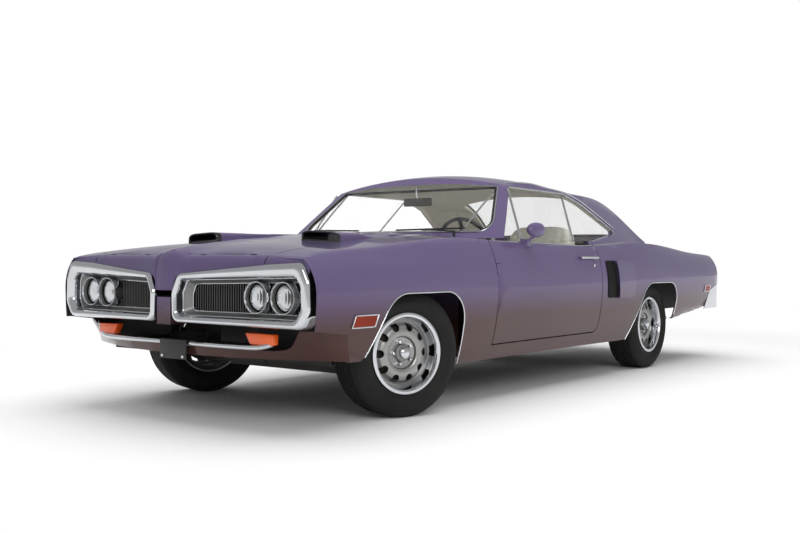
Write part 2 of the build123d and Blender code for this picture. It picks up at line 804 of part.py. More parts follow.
def hood_nose():
    """The hood's raised middle, which ends in a pointed nose between the loops, and its lip over them."""
    sections = []
    for y, half, crown in ridge_stations:
        edge = lid_skin_z(half, max(y, nose_y)) - 1
        points = [(0, edge - 30), (half, edge - 30), (half, edge), (0, crown)]
        sections.append(Plane.XZ.offset(-y) * make_face(Polyline(*points, close=True)))
    ridge = loft(sections, ruled=True) - body_half(thin_sheet)
    front = front_prism(nose_outline, (ahead_of_car, hood_front_y + 10), nose_radii)
    front &= side_prism(nose_profile, (-1, outside), nose_profile_radii)
    front &= plan_prism(nose_plan, (0, above))
    front -= block(*nose_hollow)
    lip_y = (loop_front_y + lip_setback, loop_front_y + lip_setback + lip_depth)
    lip = swept(front_prism(lip_outline, lip_y))
    lip &= side_prism(lip_profile, (-1, outside), [0, 0, 60, 0, 0, 0])
    lip &= body_half() + block((0, outside), (ahead_of_car, nose_y + 1), (0, above))
    return (ridge & block((0, outside), (filler_front_y, above), (0, above))) + front + lip


def nose_panel():
    """Radiator support across the car, with the filler between the loops."""
    filler = block((0, nose_half), (filler_front_y, support_y), filler_z)
    low, high = support_z
    support = block((0, support_half), (support_y, support_y + support_sheet), (low, high))
    x0, x1, z0, z1 = radiator_opening
    support -= block((x0, x1), (support_y - 1, support_y + support_sheet + 1), (z0, z1))
    filler += block((0, nose_half), (support_y - 1, support_y + support_sheet), (z0 - 1, z1 + 1))
    return both(filler + support)


def front_valance():
    outer = [
        (0, valance_front_y - 20), (520, valance_front_y - 8), (800, valance_front_y + 50),
        (valance_half - 6, -2400), (valance_half, -2236), (valance_half - 60, -2210), (0, -2210),
    ]
    t = valance_sheet
    inner = [
        (-1, valance_front_y - 20 + t), (520, valance_front_y - 8 + t), (800 - 3, valance_front_y + 50 + t),
        (valance_half - 6 - t, -2400), (valance_half - t, -2100), (-1, -2100),
    ]
    radii = [0, 60, 90, 60, 0, 0, 0]
    skin = plan_prism(outer, valance_z, radii) - plan_prism(inner, (0, above), radii[:-1])
    tray = plan_prism(outer, valance_tray_z, radii)
    tray &= block((0, valance_tray_half), (ahead_of_car, support_y - seat_gap), (0, above))
    skin &= side_prism(valance_profile, (0, outside))
    skin -= front_prism(valance_opening, (ahead_of_car, -2380), [0, 60, 40, 0, 0])
    return both(skin + tray)


def lower_bar():
    """Chrome bar below the loops with its stays and the licence plate bracket."""
    deep, tall = lower_bar_size
    z_range = (lower_bar_z - tall / 2, lower_bar_z + tall / 2)
    bar = block((0, lower_bar_half), (lower_bar_y - deep / 2, lower_bar_y + deep / 2), z_range)
    stay_z = (lower_bar_z - 8, lower_bar_z + 8)
    stay = block(stay_x, (lower_bar_y, support_y), stay_z)
    bracket = block((0, plate_half), (plate_y, plate_y + 4), plate_z)
    neck = block((0, plate_half / 2), (plate_y + 3, lower_bar_y), stay_z)
    return both(bar + stay + bracket + neck)


def marker_lamps():
    lenses = block(turn_signal_x, turn_signal_y, turn_signal_z)
    middle = sum(turn_signal_x) / 2
    lenses += block((middle - 20, middle + 20), (turn_signal_y[1] - 1, support_y), turn_signal_stem_z)
    for outline in (front_marker, rear_marker):
        plate = side_prism(outline, (floor_half, outside)) & body_half(-marker_sheet)
        lenses += plate - body_solid
    return both(lenses)


def rear_bumper():
    """Wrap-round bumper, hollow behind, on two arms from the frame."""
    outer = bumper_plan(0)
    shell = plan_prism(outer, bumper_z, bumper_radii)
    shell -= plan_prism(bumper_plan(bumper_wall), (0, above), bumper_radii)
    low, high = bumper_z
    rear = bumper_rear_y + bumper_wall
    profile = [(2192, low), (2330, 560), (2500, high), (rear, high), (rear, low + 28), (2600, low)]
    shell &= side_prism(profile, (-1, outside), [0, 0, 0, 20, 40, 0])
    arm = block(bumper_arm_x, (trunk_rear_y, bumper_rear_y - 12), bumper_arm_z)
    return both(shell + arm)


def bumper_plan(inset):
    """The rear bumper's (x, y) outline, moved in by a distance."""
    end = bumper_half - inset
    rear = bumper_rear_y - inset
    reach = rear_marker[0][0] - 47 - 4 * inset
    return [(-1, rear), (500, rear - 12), (860 - inset, rear - 68), (end, 2500), (end, reach), (-1, reach)]


# ---- underbody and cabin ----
def floor_pan():
    """Cabin floor with its tunnel, the floor over the axle, the bulkhead, the shelf and the front rails."""
    front = sill_front_y + floor_sheet
    sheet = floor_sheet
    floor = block((tunnel_half, sill_x[0]), (front, kick_y), (floor_z, floor_z + sheet))
    kick = block((0, sill_x[0]), (kick_y - sheet, kick_y), (floor_z, axle_floor_z))
    kick -= block((-1, tunnel_half), (0, above), (0, tunnel_top_z))
    over = block((0, floor_half), (kick_y - 1, trunk_front_y), (axle_floor_z, axle_floor_z + sheet))
    over += block((0, sill_x[0]), (kick_y - 1, sill_rear_y), (axle_floor_z, axle_floor_z + sheet))
    house_z = (axle_floor_z + 1, house_top_z)
    house = block((floor_half - sheet, floor_half), (kick_y, trunk_front_y), house_z)
    tunnel = block((0, tunnel_half + sheet), (front, kick_y - 1), (floor_z, tunnel_top_z + sheet))
    tunnel -= block((-1, tunnel_half), (sill_front_y - 1, above), (0, tunnel_top_z))
    bulkhead = block((0, floor_half), (bulkhead_y, bulkhead_y + sheet), (axle_floor_z, shelf_z))
    shelf = block((0, shelf_half), (bulkhead_y, deck_front_y + 40), (shelf_z - sheet, shelf_z))
    low_rail_z = (floor_z - 60, floor_z)
    rail = block(rail_x, (support_y + support_sheet, sill_front_y), rail_z)
    rail += block(rail_x, (sill_front_y - 120, sill_front_y + 300), low_rail_z)
    rail += block(rail_x, (sill_front_y - 120, sill_front_y - 1), (low_rail_z[0], rail_z[1]))
    half = floor + kick + over + house + tunnel + bulkhead + shelf + rail
    return both(half + lid_bracket(deck_front_y, 1, shelf_z - 1))


def trunk_pan():
    """Open tub behind the axle floor, which it carries on its front wall."""
    sheet = floor_sheet
    front = trunk_front_y - sheet
    tub = block((0, floor_half), (front, trunk_rear_y), (trunk_floor_z, trunk_floor_z + sheet))
    tub += block((0, floor_half), (front, trunk_front_y), (trunk_floor_z, axle_floor_z))
    tub += block((0, floor_half), (trunk_rear_y - sheet, trunk_rear_y), (trunk_floor_z, trunk_wall_z))
    side_x = (floor_half - sheet, floor_half)
    tub += block(side_x, (trunk_front_y, trunk_rear_y), (trunk_floor_z, house_top_z))
    return both(tub)


def driveline():
    engine = block((0, 250), (-2080, -1420), (driveline_z, 720)) + block((0, 150), (-2050, -1450), (262, 331))
    engine += block((0, 190), (-2000, -1560), (719, 800))
    gearbox = block((0, 120), (-1421, -700), (290, 425))
    shaft = rod((0, -701, 345), (0, rear_axle_y - 110, tyre_radius + 5), 36)
    mount = block((249, rail_x[0]), (-1700, -1640), (360, 390))
    return both(engine + gearbox + mount) + shaft


def front_suspension():
    """Crossmember, arms and their joints at the kingpin, on the left."""
    y = front_axle_y
    low_z, high_z = arm_heights
    beam = block((0, 430), (y - 60, y + 60), (190, 240))
    beam += block((rail_x[0], rail_x[1]), (y - 60, y + 60), (239, rail_z[0]))
    beam += block((rail_x[0], rail_x[1]), (y - 60, y + 60), (rail_z[1], high_z + 16))
    arms = block((429, kingpin_x), (y - 20, y + 20), (low_z - 9, low_z + 9))
    arms += block((rail_x[1] - 1, kingpin_x), (y - 18, y + 18), (high_z - 8, high_z + 8))
    bosses = rod((kingpin_x, y, low_z - 16), (kingpin_x, y, low_z + 16), 22)
    bosses += rod((kingpin_x, y, high_z - 14), (kingpin_x, y, high_z + 14), 22)
    return both(beam) + both(arms + bosses)


def rear_axle():
    y, z = rear_axle_y, tyre_radius
    end = rear_track / 2 + disc_face - disc_thickness - 10
    tube = rod((0, y, z), (640, y, z), 40) + rod((0, y, z), (end, y, z), spindle_radius)
    case = Pos(0, y, z) * (Rot(90, 0, 0) * Cylinder(122, 170))
    case = fillet(case.edges(), 40) + both(tube)
    leaf = side_prism(leaf_outline, leaf_x)
    shackle = block(leaf_x, (1920, 1940), (310, trunk_floor_z))
    return case + both(leaf + shackle)


def exhaust():
    """Pipe, muffler and tip on the left, with what they hang from."""
    start = exhaust_route[0]
    x, y, z = exhaust_route[-1]
    path = FilletPolyline(*exhaust_route, radius=70)
    pipe = sweep(Plane(start, z_dir=path % 0) * Circle(pipe_radius), path=path)
    wide, tall, half = muffler_size
    muffler = Pos(x, muffler_y, z) * (Rot(90, 0, 0) * extrude(RectangleRounded(wide, tall, 50), half, both=True))
    tip = rod((x, muffler_y + half - 10, z), (x, muffler_y + 2 * half + 10, z - 10), tip_radius)
    hanger = block((x - 10, x + 10), (muffler_y - 10, muffler_y + 10), (z + 50, trunk_floor_z))
    riser = rod(start, (start[0], start[1], driveline_z), pipe_radius - 4)
    return both(pipe + muffler + tip + hanger + riser)


def fuel_tank():
    tank = block((-330, 330), (1780, 2380), (250, trunk_floor_z))
    return fillet(tank.edges().group_by(Axis.Z)[0], 40)


def dashboard():
    """Instrument panel with the fixed part of the steering column."""
    panel = side_prism(dash_outline, (-dash_half, dash_half), dash_radii)
    column = rod(along_column(-60), along_column(-330), column_radius)
    shaft = rod(along_column(6), along_column(-70), column_shaft_radius)
    return panel + column + shaft


def along_column(distance):
    """A place on the steering column's axis, measured from the wheel's middle towards the driver."""
    x, y, z = steering_wheel_centre
    tilt = radians(column_tilt)
    return (x, y + distance * cos(tilt), z + distance * sin(tilt))


def steering_wheel():
    plane = Plane(steering_wheel_centre, x_dir=(1, 0, 0), z_dir=Vector(*along_column(1)) - Vector(*along_column(0)))
    rim = Torus(steering_wheel_radius, 12)
    hub = Pos(0, 0, -12) * Cylinder(36, 50)
    reach = steering_wheel_radius - 12
    spokes = Box(reach + steering_wheel_radius, 26, 7)
    spokes += Pos(0, -steering_wheel_radius / 2, 0) * Box(26, reach, 7)
    bore = Pos(0, 0, -10) * Cylinder(column_shaft_radius + pin_clearance, 100)
    return plane * ((rim + hub + spokes) - bore + Pos(0, 0, 16) * Cylinder(36, 8))


def seats():
    cushion = side_prism(
        [(-190, 330), (-210, 430), (200, 400), (330, 860), (400, 1040), (470, 1030), (440, 800), (330, 330)],
        seat_x, [20, 60, 20, 60, 30, 30, 60, 40],
    )
    front = cushion + block((180, 650), (-120, 300), (floor_z + floor_sheet, 340))
    seat_z = axle_floor_z + floor_sheet
    bench = side_prism(
        [(kick_y, seat_z), (kick_y - 20, 590), (1000, 560), (1090, 860), (bulkhead_y, 860), (bulkhead_y, seat_z)],
        (-580, 580), [0, 40, 20, 30, 0, 0],
    )
    return both(front) + bench


def wipers():
    """Left wiper on its pivot in the cowl, parked along the windshield."""
    pivot = rod((560, -892, 900), (560, -892, 974), 9) - body_solid
    arm = rod((560, -892, 968), (380, -878, 984), 4)
    blade = rod((600, -832, 990), (150, -918, 980), 5)
    return pivot + arm + blade


# ---- wheels ----
def wheel_frame(x, y):
    """Frame of the left wheel: its Z points outboard, its origin is the wheel's middle."""
    return Plane((x, y, tyre_radius), x_dir=(0, 1, 0), z_dir=(1, 0, 0))


def ring(profile):
    """Solid of revolution about Z from (radius, height) points."""
    return revolve(Plane.XZ * make_face(Polyline(*profile, close=True)), Axis.Z)


def tyre():
    half = tyre_width / 2
    bulge = (tyre_radius + rim_radius) / 2 + 6
    profile = [
        (rim_radius, -bead_width / 2), (bulge, -half), (tyre_radius - shoulder_drop, -tread_width / 2 - 8),
        (tyre_radius, -tread_width / 2), (tyre_radius, tread_width / 2),
        (tyre_radius - shoulder_drop, tread_width / 2 + 8), (bulge, half), (rim_radius, bead_width / 2),
    ]
    return ring(profile)


def rim():
    half = rim_width / 2
    back = disc_face - disc_thickness
    bore = spindle_radius + spindle_clearance
    profile = [
        (0, disc_face + cap_proud), (cap_radius - 6, disc_face + cap_proud), (cap_radius, disc_face - 4),
        (disc_radius, disc_face), (rim_radius - rim_wall - 8, half + trim_ring_proud),
        (rim_radius, half + trim_ring_proud), (rim_radius, -half), (rim_radius - rim_wall, -half),
        (disc_radius - 6, back), (hub_radius, back - 4), (hub_radius, hub_back),
        (bore, hub_back), (bore, back - 9), (0, back - 9),
    ]
    wheel = ring(profile)
    slot = extrude(make_face(slot_edges()), 60)
    lug = Pos(lug_circle, 0, disc_face - lug_seat) * extrude(RegularPolygon(lug_radius, 6), lug_height)
    for index in range(slot_count):
        wheel -= Rot(0, 0, index * 360 / slot_count) * (Pos(0, 0, disc_face - 30) * slot)
    for index in range(lug_count):
        wheel += Rot(0, 0, index * 360 / lug_count) * lug
    return wheel


def slot_edges():
    """D-shaped slot: a straight inner side and a round outer one."""
    angle = radians(slot_half_angle)
    inner = (slot_inner_radius * cos(angle), slot_inner_radius * sin(angle))
    outer = (slot_outer_radius * cos(angle) - 6, slot_outer_radius * sin(angle))
    return [
        Line((inner[0], -inner[1]), inner), Line(inner, outer),
        ThreePointArc(outer, (slot_outer_radius, 0), (outer[0], -outer[1])),
        Line((outer[0], -outer[1]), (inner[0], -inner[1])),
    ]


def knuckle():
    """Left upright on the kingpin, with the spindle that the front wheel turns on."""
    low_z, high_z = arm_heights
    y, z = front_axle_y, tyre_radius
    end = front_track / 2 + disc_face - disc_thickness - 10
    post = rod((kingpin_x, y, low_z + 16 + seat_gap), (kingpin_x, y, high_z - 14 - seat_gap), 18)
    flange = rod((kingpin_x, y, z), (front_track / 2 + hub_back - 2, y, z), 30)
    return post + flange + rod((kingpin_x, y, z), (end, y, z), spindle_radius)


def steered(piece, side):
    """A front piece turned about its kingpin to the parked steering angle. side is 1 for the left."""
    centre = Vector(side * kingpin_x, front_axle_y, 0)
    placed = piece if side > 0 else mirror(piece, about=Plane.YZ)
    return Pos(centre) * (Rot(0, 0, steer_rest) * (Pos(-centre) * placed))


def save_wheels():
    front = wheel_frame(front_track / 2, front_axle_y)
    rear = wheel_frame(rear_track / 2, rear_axle_y)
    for name, shape in (("tyre", tyre()), ("rim", rim())):
        save_sides(f"{name}_rear", rear * shape)
        save(f"{name}_front_left", steered(front * shape, 1))
        save(f"{name}_front_right", steered(front * shape, -1))
    save("knuckle_left", steered(knuckle(), 1))
    save("knuckle_right", steered(knuckle(), -1))


os.makedirs("parts", exist_ok=True)
save_sides("fender", fender())
save_sides("quarter", quarter())
save("roof", roof())
save("cowl", cowl())
save("windshield", windshield())
save("rear_window", rear_window())
save("quarter_glass", quarter_glass())
save("door_hinges", both(door_hinges()))
save("door_left", door() + door_mirror())
save("door_right", mirror(door(), about=Plane.YZ))
save_sides("door_glass", door_glass())
save("hood", hood())
save("decklid", decklid())
save("tail_panel", tail_panel())
save("tail_lamps", tail_lamps())
save("rear_bumper", rear_bumper())
save("front_loops", both(front_loop()))
save("grilles", both(grille()))
save("headlamps", both(headlamps()))
save("nose_panel", nose_panel())
save("front_valance", front_valance())
save("lower_bar", lower_bar())
save("marker_lamps", marker_lamps())
save("floor_pan", floor_pan())
save("trunk_pan", trunk_pan())
save("driveline", driveline())
save("front_suspension", front_suspension())
save("rear_axle", rear_axle())
save("exhaust", exhaust())
save("fuel_tank", fuel_tank())
save("dashboard", dashboard())
save("steering_wheel", steering_wheel())
save("seats", seats())
save("wipers", both(wipers()))
save_wheels()
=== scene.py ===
import bpy, bmesh, json
from math import copysign, cos, pi, radians, sin, tan, tau
from mathutils import Matrix, Vector
from mathutils.bvhtree import BVHTree


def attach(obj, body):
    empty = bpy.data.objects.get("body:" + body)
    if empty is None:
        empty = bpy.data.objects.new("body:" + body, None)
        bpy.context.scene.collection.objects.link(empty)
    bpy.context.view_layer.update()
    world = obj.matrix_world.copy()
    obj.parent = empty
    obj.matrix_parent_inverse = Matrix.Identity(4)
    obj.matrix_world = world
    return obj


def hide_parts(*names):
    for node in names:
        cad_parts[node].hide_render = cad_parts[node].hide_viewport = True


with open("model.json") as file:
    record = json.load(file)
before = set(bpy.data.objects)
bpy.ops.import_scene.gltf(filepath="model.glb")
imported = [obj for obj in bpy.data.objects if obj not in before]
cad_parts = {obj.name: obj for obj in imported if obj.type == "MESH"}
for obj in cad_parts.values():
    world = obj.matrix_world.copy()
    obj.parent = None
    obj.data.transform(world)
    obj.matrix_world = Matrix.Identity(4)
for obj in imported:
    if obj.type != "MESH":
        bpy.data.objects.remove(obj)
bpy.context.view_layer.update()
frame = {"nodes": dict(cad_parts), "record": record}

behaviour = frame["record"]["behaviour"]
bodyOf = {node: body for body, members in behaviour["bodies"].items() for node in members}
bothSides = ((1, "left"), (-1, "right"))
weldReach, tinyReach = 0.00002, 0.00001
print("frame loaded", len(frame["nodes"]), "nodes")


def linked(name, data):
    thing = bpy.data.objects.new(name, data)
    bpy.context.scene.collection.objects.link(thing)
    return thing


# camera at the height and side where the car was seen
cameraSetup = {"place": (3.849, -5.751, 0.804), "yaw": -37.2, "pitch": -0.44, "roll": 0.29, "lens": 44.61,
               "sensor": 36, "far": 200}


def aimCamera(setup):
    yaw, pitch, roll = (radians(setup[key]) for key in ("yaw", "pitch", "roll"))
    ahead = Vector((sin(yaw) * cos(pitch), cos(yaw) * cos(pitch), sin(pitch)))
    side = Vector((cos(yaw), -sin(yaw), 0))
    up = side.cross(ahead)
    tiltedSide = side * cos(roll) + up * sin(roll)
    tiltedUp = up * cos(roll) - side * sin(roll)
    camera = linked("camera", bpy.data.cameras.new("camera"))
    camera.matrix_world = Matrix((tiltedSide, tiltedUp, -ahead)).transposed().to_4x4()
    camera.location = setup["place"]
    camera.data.lens = setup["lens"]
    camera.data.sensor_width = setup["sensor"]
    camera.data.clip_end = setup["far"]
    bpy.context.scene.camera = camera


aimCamera(cameraSetup)

# the record's slots, each with the finishes that take it
slotFinishes = {"paint": "plumPaint", "chrome": "brightChrome", "undercoat": "undercoat", "iron": "castIron",
                "tyre": "tyreRubber", "black_trim": "sealRubber blackTrim lampBlack glossBlack",
                "wheel": "wheelSilver bezelGrey", "vinyl": "paleVinyl", "dash": "dashPlastic",
                "glass": "lensGlass", "lamp_red": "lampRed", "lamp_amber": "markerOrange lampAmber"}
slotOf = {finish: slot for slot, finishes in slotFinishes.items() for finish in finishes.split()}


def meshFrom(bm, name):
    mesh = bpy.data.meshes.new(name)
    bm.to_mesh(mesh)
    bm.free()
    return mesh


def bmeshFrom(mesh):
    bm = bmesh.new()
    bm.from_mesh(mesh)
    return bm


def faceOut(bm):
    bmesh.ops.recalc_face_normals(bm, faces=bm.faces)
    return bm


def makePiece(name, bm, finish, body="body", sharpAngle=60, standsFor=(), slot=None):
    mesh = meshFrom(bm, name)
    piece = linked(name, mesh)
    finishes = finish if isinstance(finish, list) else [finish]
    for each in finishes:
        mesh.materials.append(each)
    for polygon in mesh.polygons:
        polygon.use_smooth = True
    mesh.set_sharp_from_angle(angle=radians(sharpAngle))
    slot = slot or slotOf[finishes[0].name.split(".")[0]]
    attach(piece, body)
    if standsFor:
        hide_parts(*standsFor)
    return piece


def mergedCopy(node):
    bm = bmeshFrom(frame["nodes"][node].data)
    bmesh.ops.remove_doubles(bm, verts=bm.verts, dist=weldReach)
    bmesh.ops.dissolve_degenerate(bm, dist=tinyReach, edges=bm.edges)
    return bm


# a value that is a socket is linked, and any other is set
def setInputs(node, values):
    for name, value in values.items():
        if isinstance(value, bpy.types.NodeSocket):
            node.id_data.links.new(value, node.inputs[name])
        else:
            node.inputs[name].default_value = value


def addNode(nodes, kind, values, **settings):
    node = nodes.new("ShaderNode" + kind)
    for name, value in settings.items():
        setattr(node, name, value)
    setInputs(node, values)
    return node


def smoothRise(nodes, value, low, high):
    values = {"Value": value, "From Min": low, "From Max": high}
    return addNode(nodes, "MapRange", values, interpolation_type="SMOOTHSTEP").outputs["Result"]


def mixedColour(nodes, factor, first, second):
    # inputs 0, 6 and 7 are the factor and the colours, and output 2 is their mix
    return addNode(nodes, "Mix", {0: factor, 6: first, 7: second}, data_type="RGBA").outputs[2]


def freshMaterial(name):
    material = bpy.data.materials.new(name)
    material.use_nodes = True
    nodes = material.node_tree.nodes
    return material, nodes, nodes["Principled BSDF"], nodes.new("ShaderNodeTexCoord").outputs["Object"]


def buildGrainGroup():
    group = bpy.data.node_groups.new("surfaceGrain", "ShaderNodeTree")
    face, nodes = group.interface, group.nodes
    face.new_socket("Place", in_out="INPUT", socket_type="NodeSocketVector")
    for name, value in (("Size", 400.0), ("Depth", 0.1), ("Blotch Size", 4.0)):
        face.new_socket(name, in_out="INPUT", socket_type="NodeSocketFloat").default_value = value
    face.new_socket("Normal", in_out="OUTPUT", socket_type="NodeSocketVector")
    face.new_socket("Blotch", in_out="OUTPUT", socket_type="NodeSocketFloat")
    given = nodes.new("NodeGroupInput").outputs
    fine = addNode(nodes, "TexNoise", {"Vector": given["Place"], "Scale": given["Size"], "Detail": 3})
    broad = addNode(nodes, "TexNoise", {"Vector": given["Place"], "Scale": given["Blotch Size"], "Detail": 4})
    bump = addNode(nodes, "Bump", {"Height": fine.outputs["Fac"], "Strength": given["Depth"],
                                   "Distance": 0.001})
    result = {"Normal": bump.outputs["Normal"], "Blotch": broad.outputs["Fac"]}
    setInputs(nodes.new("NodeGroupOutput"), result)
    return group


grainGroup = buildGrainGroup()


def addGrain(nodes, place, size, depth, blotchSize=4.0):
    values = {"Place": place, "Size": size, "Depth": depth, "Blotch Size": blotchSize}
    return addNode(nodes, "Group", values, node_tree=grainGroup).outputs


def blendedColour(nodes, factor, first, second):
    ramp = addNode(nodes, "ValToRGB", {"Fac": factor})
    for element, position, colour in zip(ramp.color_ramp.elements, (0.3, 0.7), (first, second)):
        element.position = position
        element.color = (*colour, 1)
    return ramp.outputs["Color"]


def plainFinish(name, first, second, roughness, metallic, size, depth, coat=0.0, sheen=0.0, specular=0.5):
    material, nodes, shader, place = freshMaterial(name)
    grain = addGrain(nodes, place, size, depth)
    setInputs(shader, {
        "Base Color": blendedColour(nodes, grain["Blotch"], first, second), "Normal": grain["Normal"],
        "Roughness": roughness, "Metallic": metallic, "Coat Weight": coat, "Coat Roughness": 0.04,
        "Sheen Weight": sheen, "Specular IOR Level": specular})
    return material


# low is the colour of the painted shade and ground reflection at the foot of the flanks, which fades out
# between the last two heights
paintLook = {"deep": (0.105, 0.076, 0.17), "light": (0.165, 0.128, 0.255), "low": (0.066, 0.03, 0.024),
             "flake": 2600.0, "metal": 0.25, "roughness": 0.32, "coat": 0.85, "specular": 0.15,
             "edge": (0.42, 0.34, 0.52), "groundShadeFrom": 0.44, "groundShadeTo": 0.71}


def makePaint(look):
    material, nodes, shader, place = freshMaterial("plumPaint")
    flakes = addNode(nodes, "TexVoronoi", {"Vector": place, "Scale": look["flake"]}).outputs["Distance"]
    tint = mixedColour(nodes, flakes, (*look["deep"], 1), (*look["light"], 1))
    # painted shade and painted reflection of the ground: the flanks warm and darken towards the road
    height = addNode(nodes, "SeparateXYZ", {"Vector": place}).outputs["Z"]
    rise = smoothRise(nodes, height, look["groundShadeFrom"], look["groundShadeTo"])
    setInputs(shader, {
        "Base Color": mixedColour(nodes, rise, (*look["low"], 1), tint), "Metallic": look["metal"],
        "Roughness": look["roughness"], "Specular IOR Level": look["specular"],
        "Specular Tint": (*look["edge"], 1), "Coat Weight": look["coat"], "Coat Roughness": 0.03,
        "Coat IOR": 1.35})
    return material


def makeGlass(name, tint, alpha):
    material, nodes, shader, place = freshMaterial(name)
    grain = addGrain(nodes, place, 3.0, 0.004, 1.5)
    colour = blendedColour(nodes, grain["Blotch"], tint, [part * 0.97 for part in tint])
    setInputs(shader, {"Base Color": colour, "Roughness": 0.02, "IOR": 1.48, "Transmission Weight": 1.0,
                       "Alpha": alpha})
    return material


paint = makePaint(paintLook)
# two colours of the blotches, roughness, metal, and the size and depth of the grain
chrome = plainFinish("brightChrome", (0.68, 0.7, 0.73), (0.61, 0.62, 0.64), 0.07, 1.0, 120.0, 0.01)
undercoat = plainFinish("undercoat", (0.018, 0.018, 0.019), (0.03, 0.029, 0.028), 0.75, 0.0, 300.0, 0.5)
castIron = plainFinish("castIron", (0.045, 0.042, 0.04), (0.08, 0.072, 0.066), 0.65, 0.5, 500.0, 0.5)
pipeSteel = plainFinish("pipeSteel", (0.22, 0.2, 0.18), (0.32, 0.3, 0.28), 0.45, 0.9, 200.0, 0.2)
tyreRubber = plainFinish("tyreRubber", (0.008, 0.008, 0.008), (0.015, 0.014, 0.013), 0.75, 0.0, 700.0, 0.25,
                         specular=0.3)
sealRubber = plainFinish("sealRubber", (0.008, 0.008, 0.008), (0.014, 0.014, 0.014), 0.55, 0.0, 600.0, 0.2)
blackTrim = plainFinish("blackTrim", (0.01, 0.01, 0.01), (0.02, 0.02, 0.02), 0.42, 0.0, 600.0, 0.2)
wheelSilver = plainFinish("wheelSilver", (0.3, 0.3, 0.29), (0.38, 0.38, 0.37), 0.32, 0.75, 500.0, 0.05,
                          coat=0.3)
paleVinyl = plainFinish("paleVinyl", (0.64, 0.63, 0.55), (0.72, 0.71, 0.63), 0.48, 0.0, 900.0, 0.35)
headCloth = plainFinish("headliner", (0.86, 0.82, 0.7), (0.92, 0.88, 0.76), 0.8, 0.0, 1500.0, 0.3, sheen=0.2)
dashPlastic = plainFinish("dashPlastic", (0.016, 0.016, 0.017), (0.028, 0.028, 0.03), 0.5, 0.0, 900.0, 0.3)
clearGlass = makeGlass("clearGlass", (0.99, 1.0, 0.995), 0.1)
lampRed = plainFinish("lampRed", (0.22, 0.008, 0.006), (0.3, 0.012, 0.009), 0.3, 0.0, 250.0, 0.35, coat=0.1,
                      specular=0.2)
bezelGrey = plainFinish("bezelGrey", (0.2, 0.2, 0.2), (0.27, 0.27, 0.26), 0.38, 0.6, 400.0, 0.05)
lampBlack = plainFinish("lampBlack", (0.006, 0.006, 0.006), (0.01, 0.01, 0.01), 0.5, 0.0, 500.0, 0.1,
                        specular=0.08)
markerOrange = plainFinish("markerOrange", (0.2, 0.014, 0.001), (0.27, 0.022, 0.002), 0.45, 0.0, 250.0, 0.35,
                           coat=0.05, specular=0.2)
doorCard = plainFinish("doorCard", (0.44, 0.45, 0.4), (0.52, 0.53, 0.47), 0.5, 0.0, 900.0, 0.35)
lampAmber = plainFinish("lampAmber", (0.72, 0.085, 0.008), (0.85, 0.14, 0.015), 0.25, 0.0, 250.0, 0.35,
                        coat=0.4)
glossBlack = plainFinish("glossBlack", (0.006, 0.006, 0.007), (0.01, 0.01, 0.011), 0.12, 0.0, 400.0, 0.02,
                         coat=0.6)

# nodes by the start of their names; the rest are painted
nodeFinish = {"floor_pan": undercoat, "trunk_pan": undercoat, "fuel_tank": undercoat,
              "door_hinges": undercoat, "driveline": castIron, "front_susp": castIron, "rear_axle": castIron,
              "knuckle": castIron, "exhaust": pipeSteel, "dashboard": dashPlastic,
              "steering_wheel": dashPlastic, "seats": paleVinyl, "wipers": blackTrim, "grilles": blackTrim,
              "tail_lamps": lampRed, "marker_lamps": lampAmber, "rear_bumper": chrome, "front_loops": chrome,
              "headlamps": chrome, "lower_bar": chrome, "windshield": clearGlass, "rear_window": clearGlass,
              "quarter_glass": clearGlass, "door_glass": clearGlass, "tyre": tyreRubber, "rim": wheelSilver}
for node, thing in frame["nodes"].items():
    thing.data.materials.clear()
    found = (finish for start, finish in nodeFinish.items() if node.startswith(start))
    thing.data.materials.append(next(found, paint))
print("materials on the frame")

# where the dressed copies of the painted panels differ from the CAD ones:
# the front fenders and the hood lie this much lower in the middle of their length
sagShape = {"deep": 0.03, "front": -2.52, "middle": -1.95, "rear": -1.12, "from": 0.74, "to": 0.84}
fenderLow = 0.322
fillerRear, fillerTop = -2.47, 0.612
loopFront = -2.612
sweepSlope = 0.0906
apronShape = {"noseHalf": 0.07, "noseLow": 0.646, "noseFront": -2.588, "crease": 0.01, "flare": 0.22,
              "steps": 8, "split": 0.626, "end": 0.884, "setback": 0.026, "fall": 0.045, "back": -2.528}
tailSkirt = {"from": 1.4, "low": 0.341, "slope": 0.1046}
handleBox = {"x": (0.936, 2), "y": (-0.01, 0.24), "z": (0.806, 0.832)}
scoopBox = {"x": (0.314, 0.564), "y": (-1.95, -1.474)}
mirrorBox = {"x": (0.922, 2), "y": (-2, -0.45), "z": (0.934, 2)}
# the raised panel on the quarters, whose steps are too slight for the general angle
raisedPanel = {"box": {"y": (0.33, 0.83), "z": (0.53, 0.82)}, "leastStep": 1.2}


def within(box, place):
    return all(low < abs(place.x) < high if axis == "x" else low < getattr(place, axis) < high
               for axis, (low, high) in box.items())


def facesInward(face):
    middle = face.calc_center_median()
    return face.normal.x * middle.x < -0.2 * abs(middle.x)


def facesOutward(face, middle):
    return face.normal.x * middle.x > 0.25 * abs(middle.x)


def roofLining(face):
    middle = face.calc_center_median()
    return face.normal.dot(Vector((middle.x, 0, 0.9))) < -0.25


# the support wall behind the nose, seen through the opening below the loops, is given the black undercoat as
# painted shade
def paintedShadeBehindNose(face):
    return face.calc_center_median().y > fillerRear


def isHandle(face):
    return within(handleBox, face.calc_center_median())


def underLid(face):
    return face.normal.z < -0.3


def onScoop(face):
    return all(within(scoopBox, vert.co) for vert in face.verts) and face.calc_center_median().z > 0.8


def onNose(face):
    return all(vert.co.y < -2.536 + sweepSlope * abs(vert.co.x) for vert in face.verts)


def onMirror(face):
    return within(mirrorBox, face.calc_center_median())


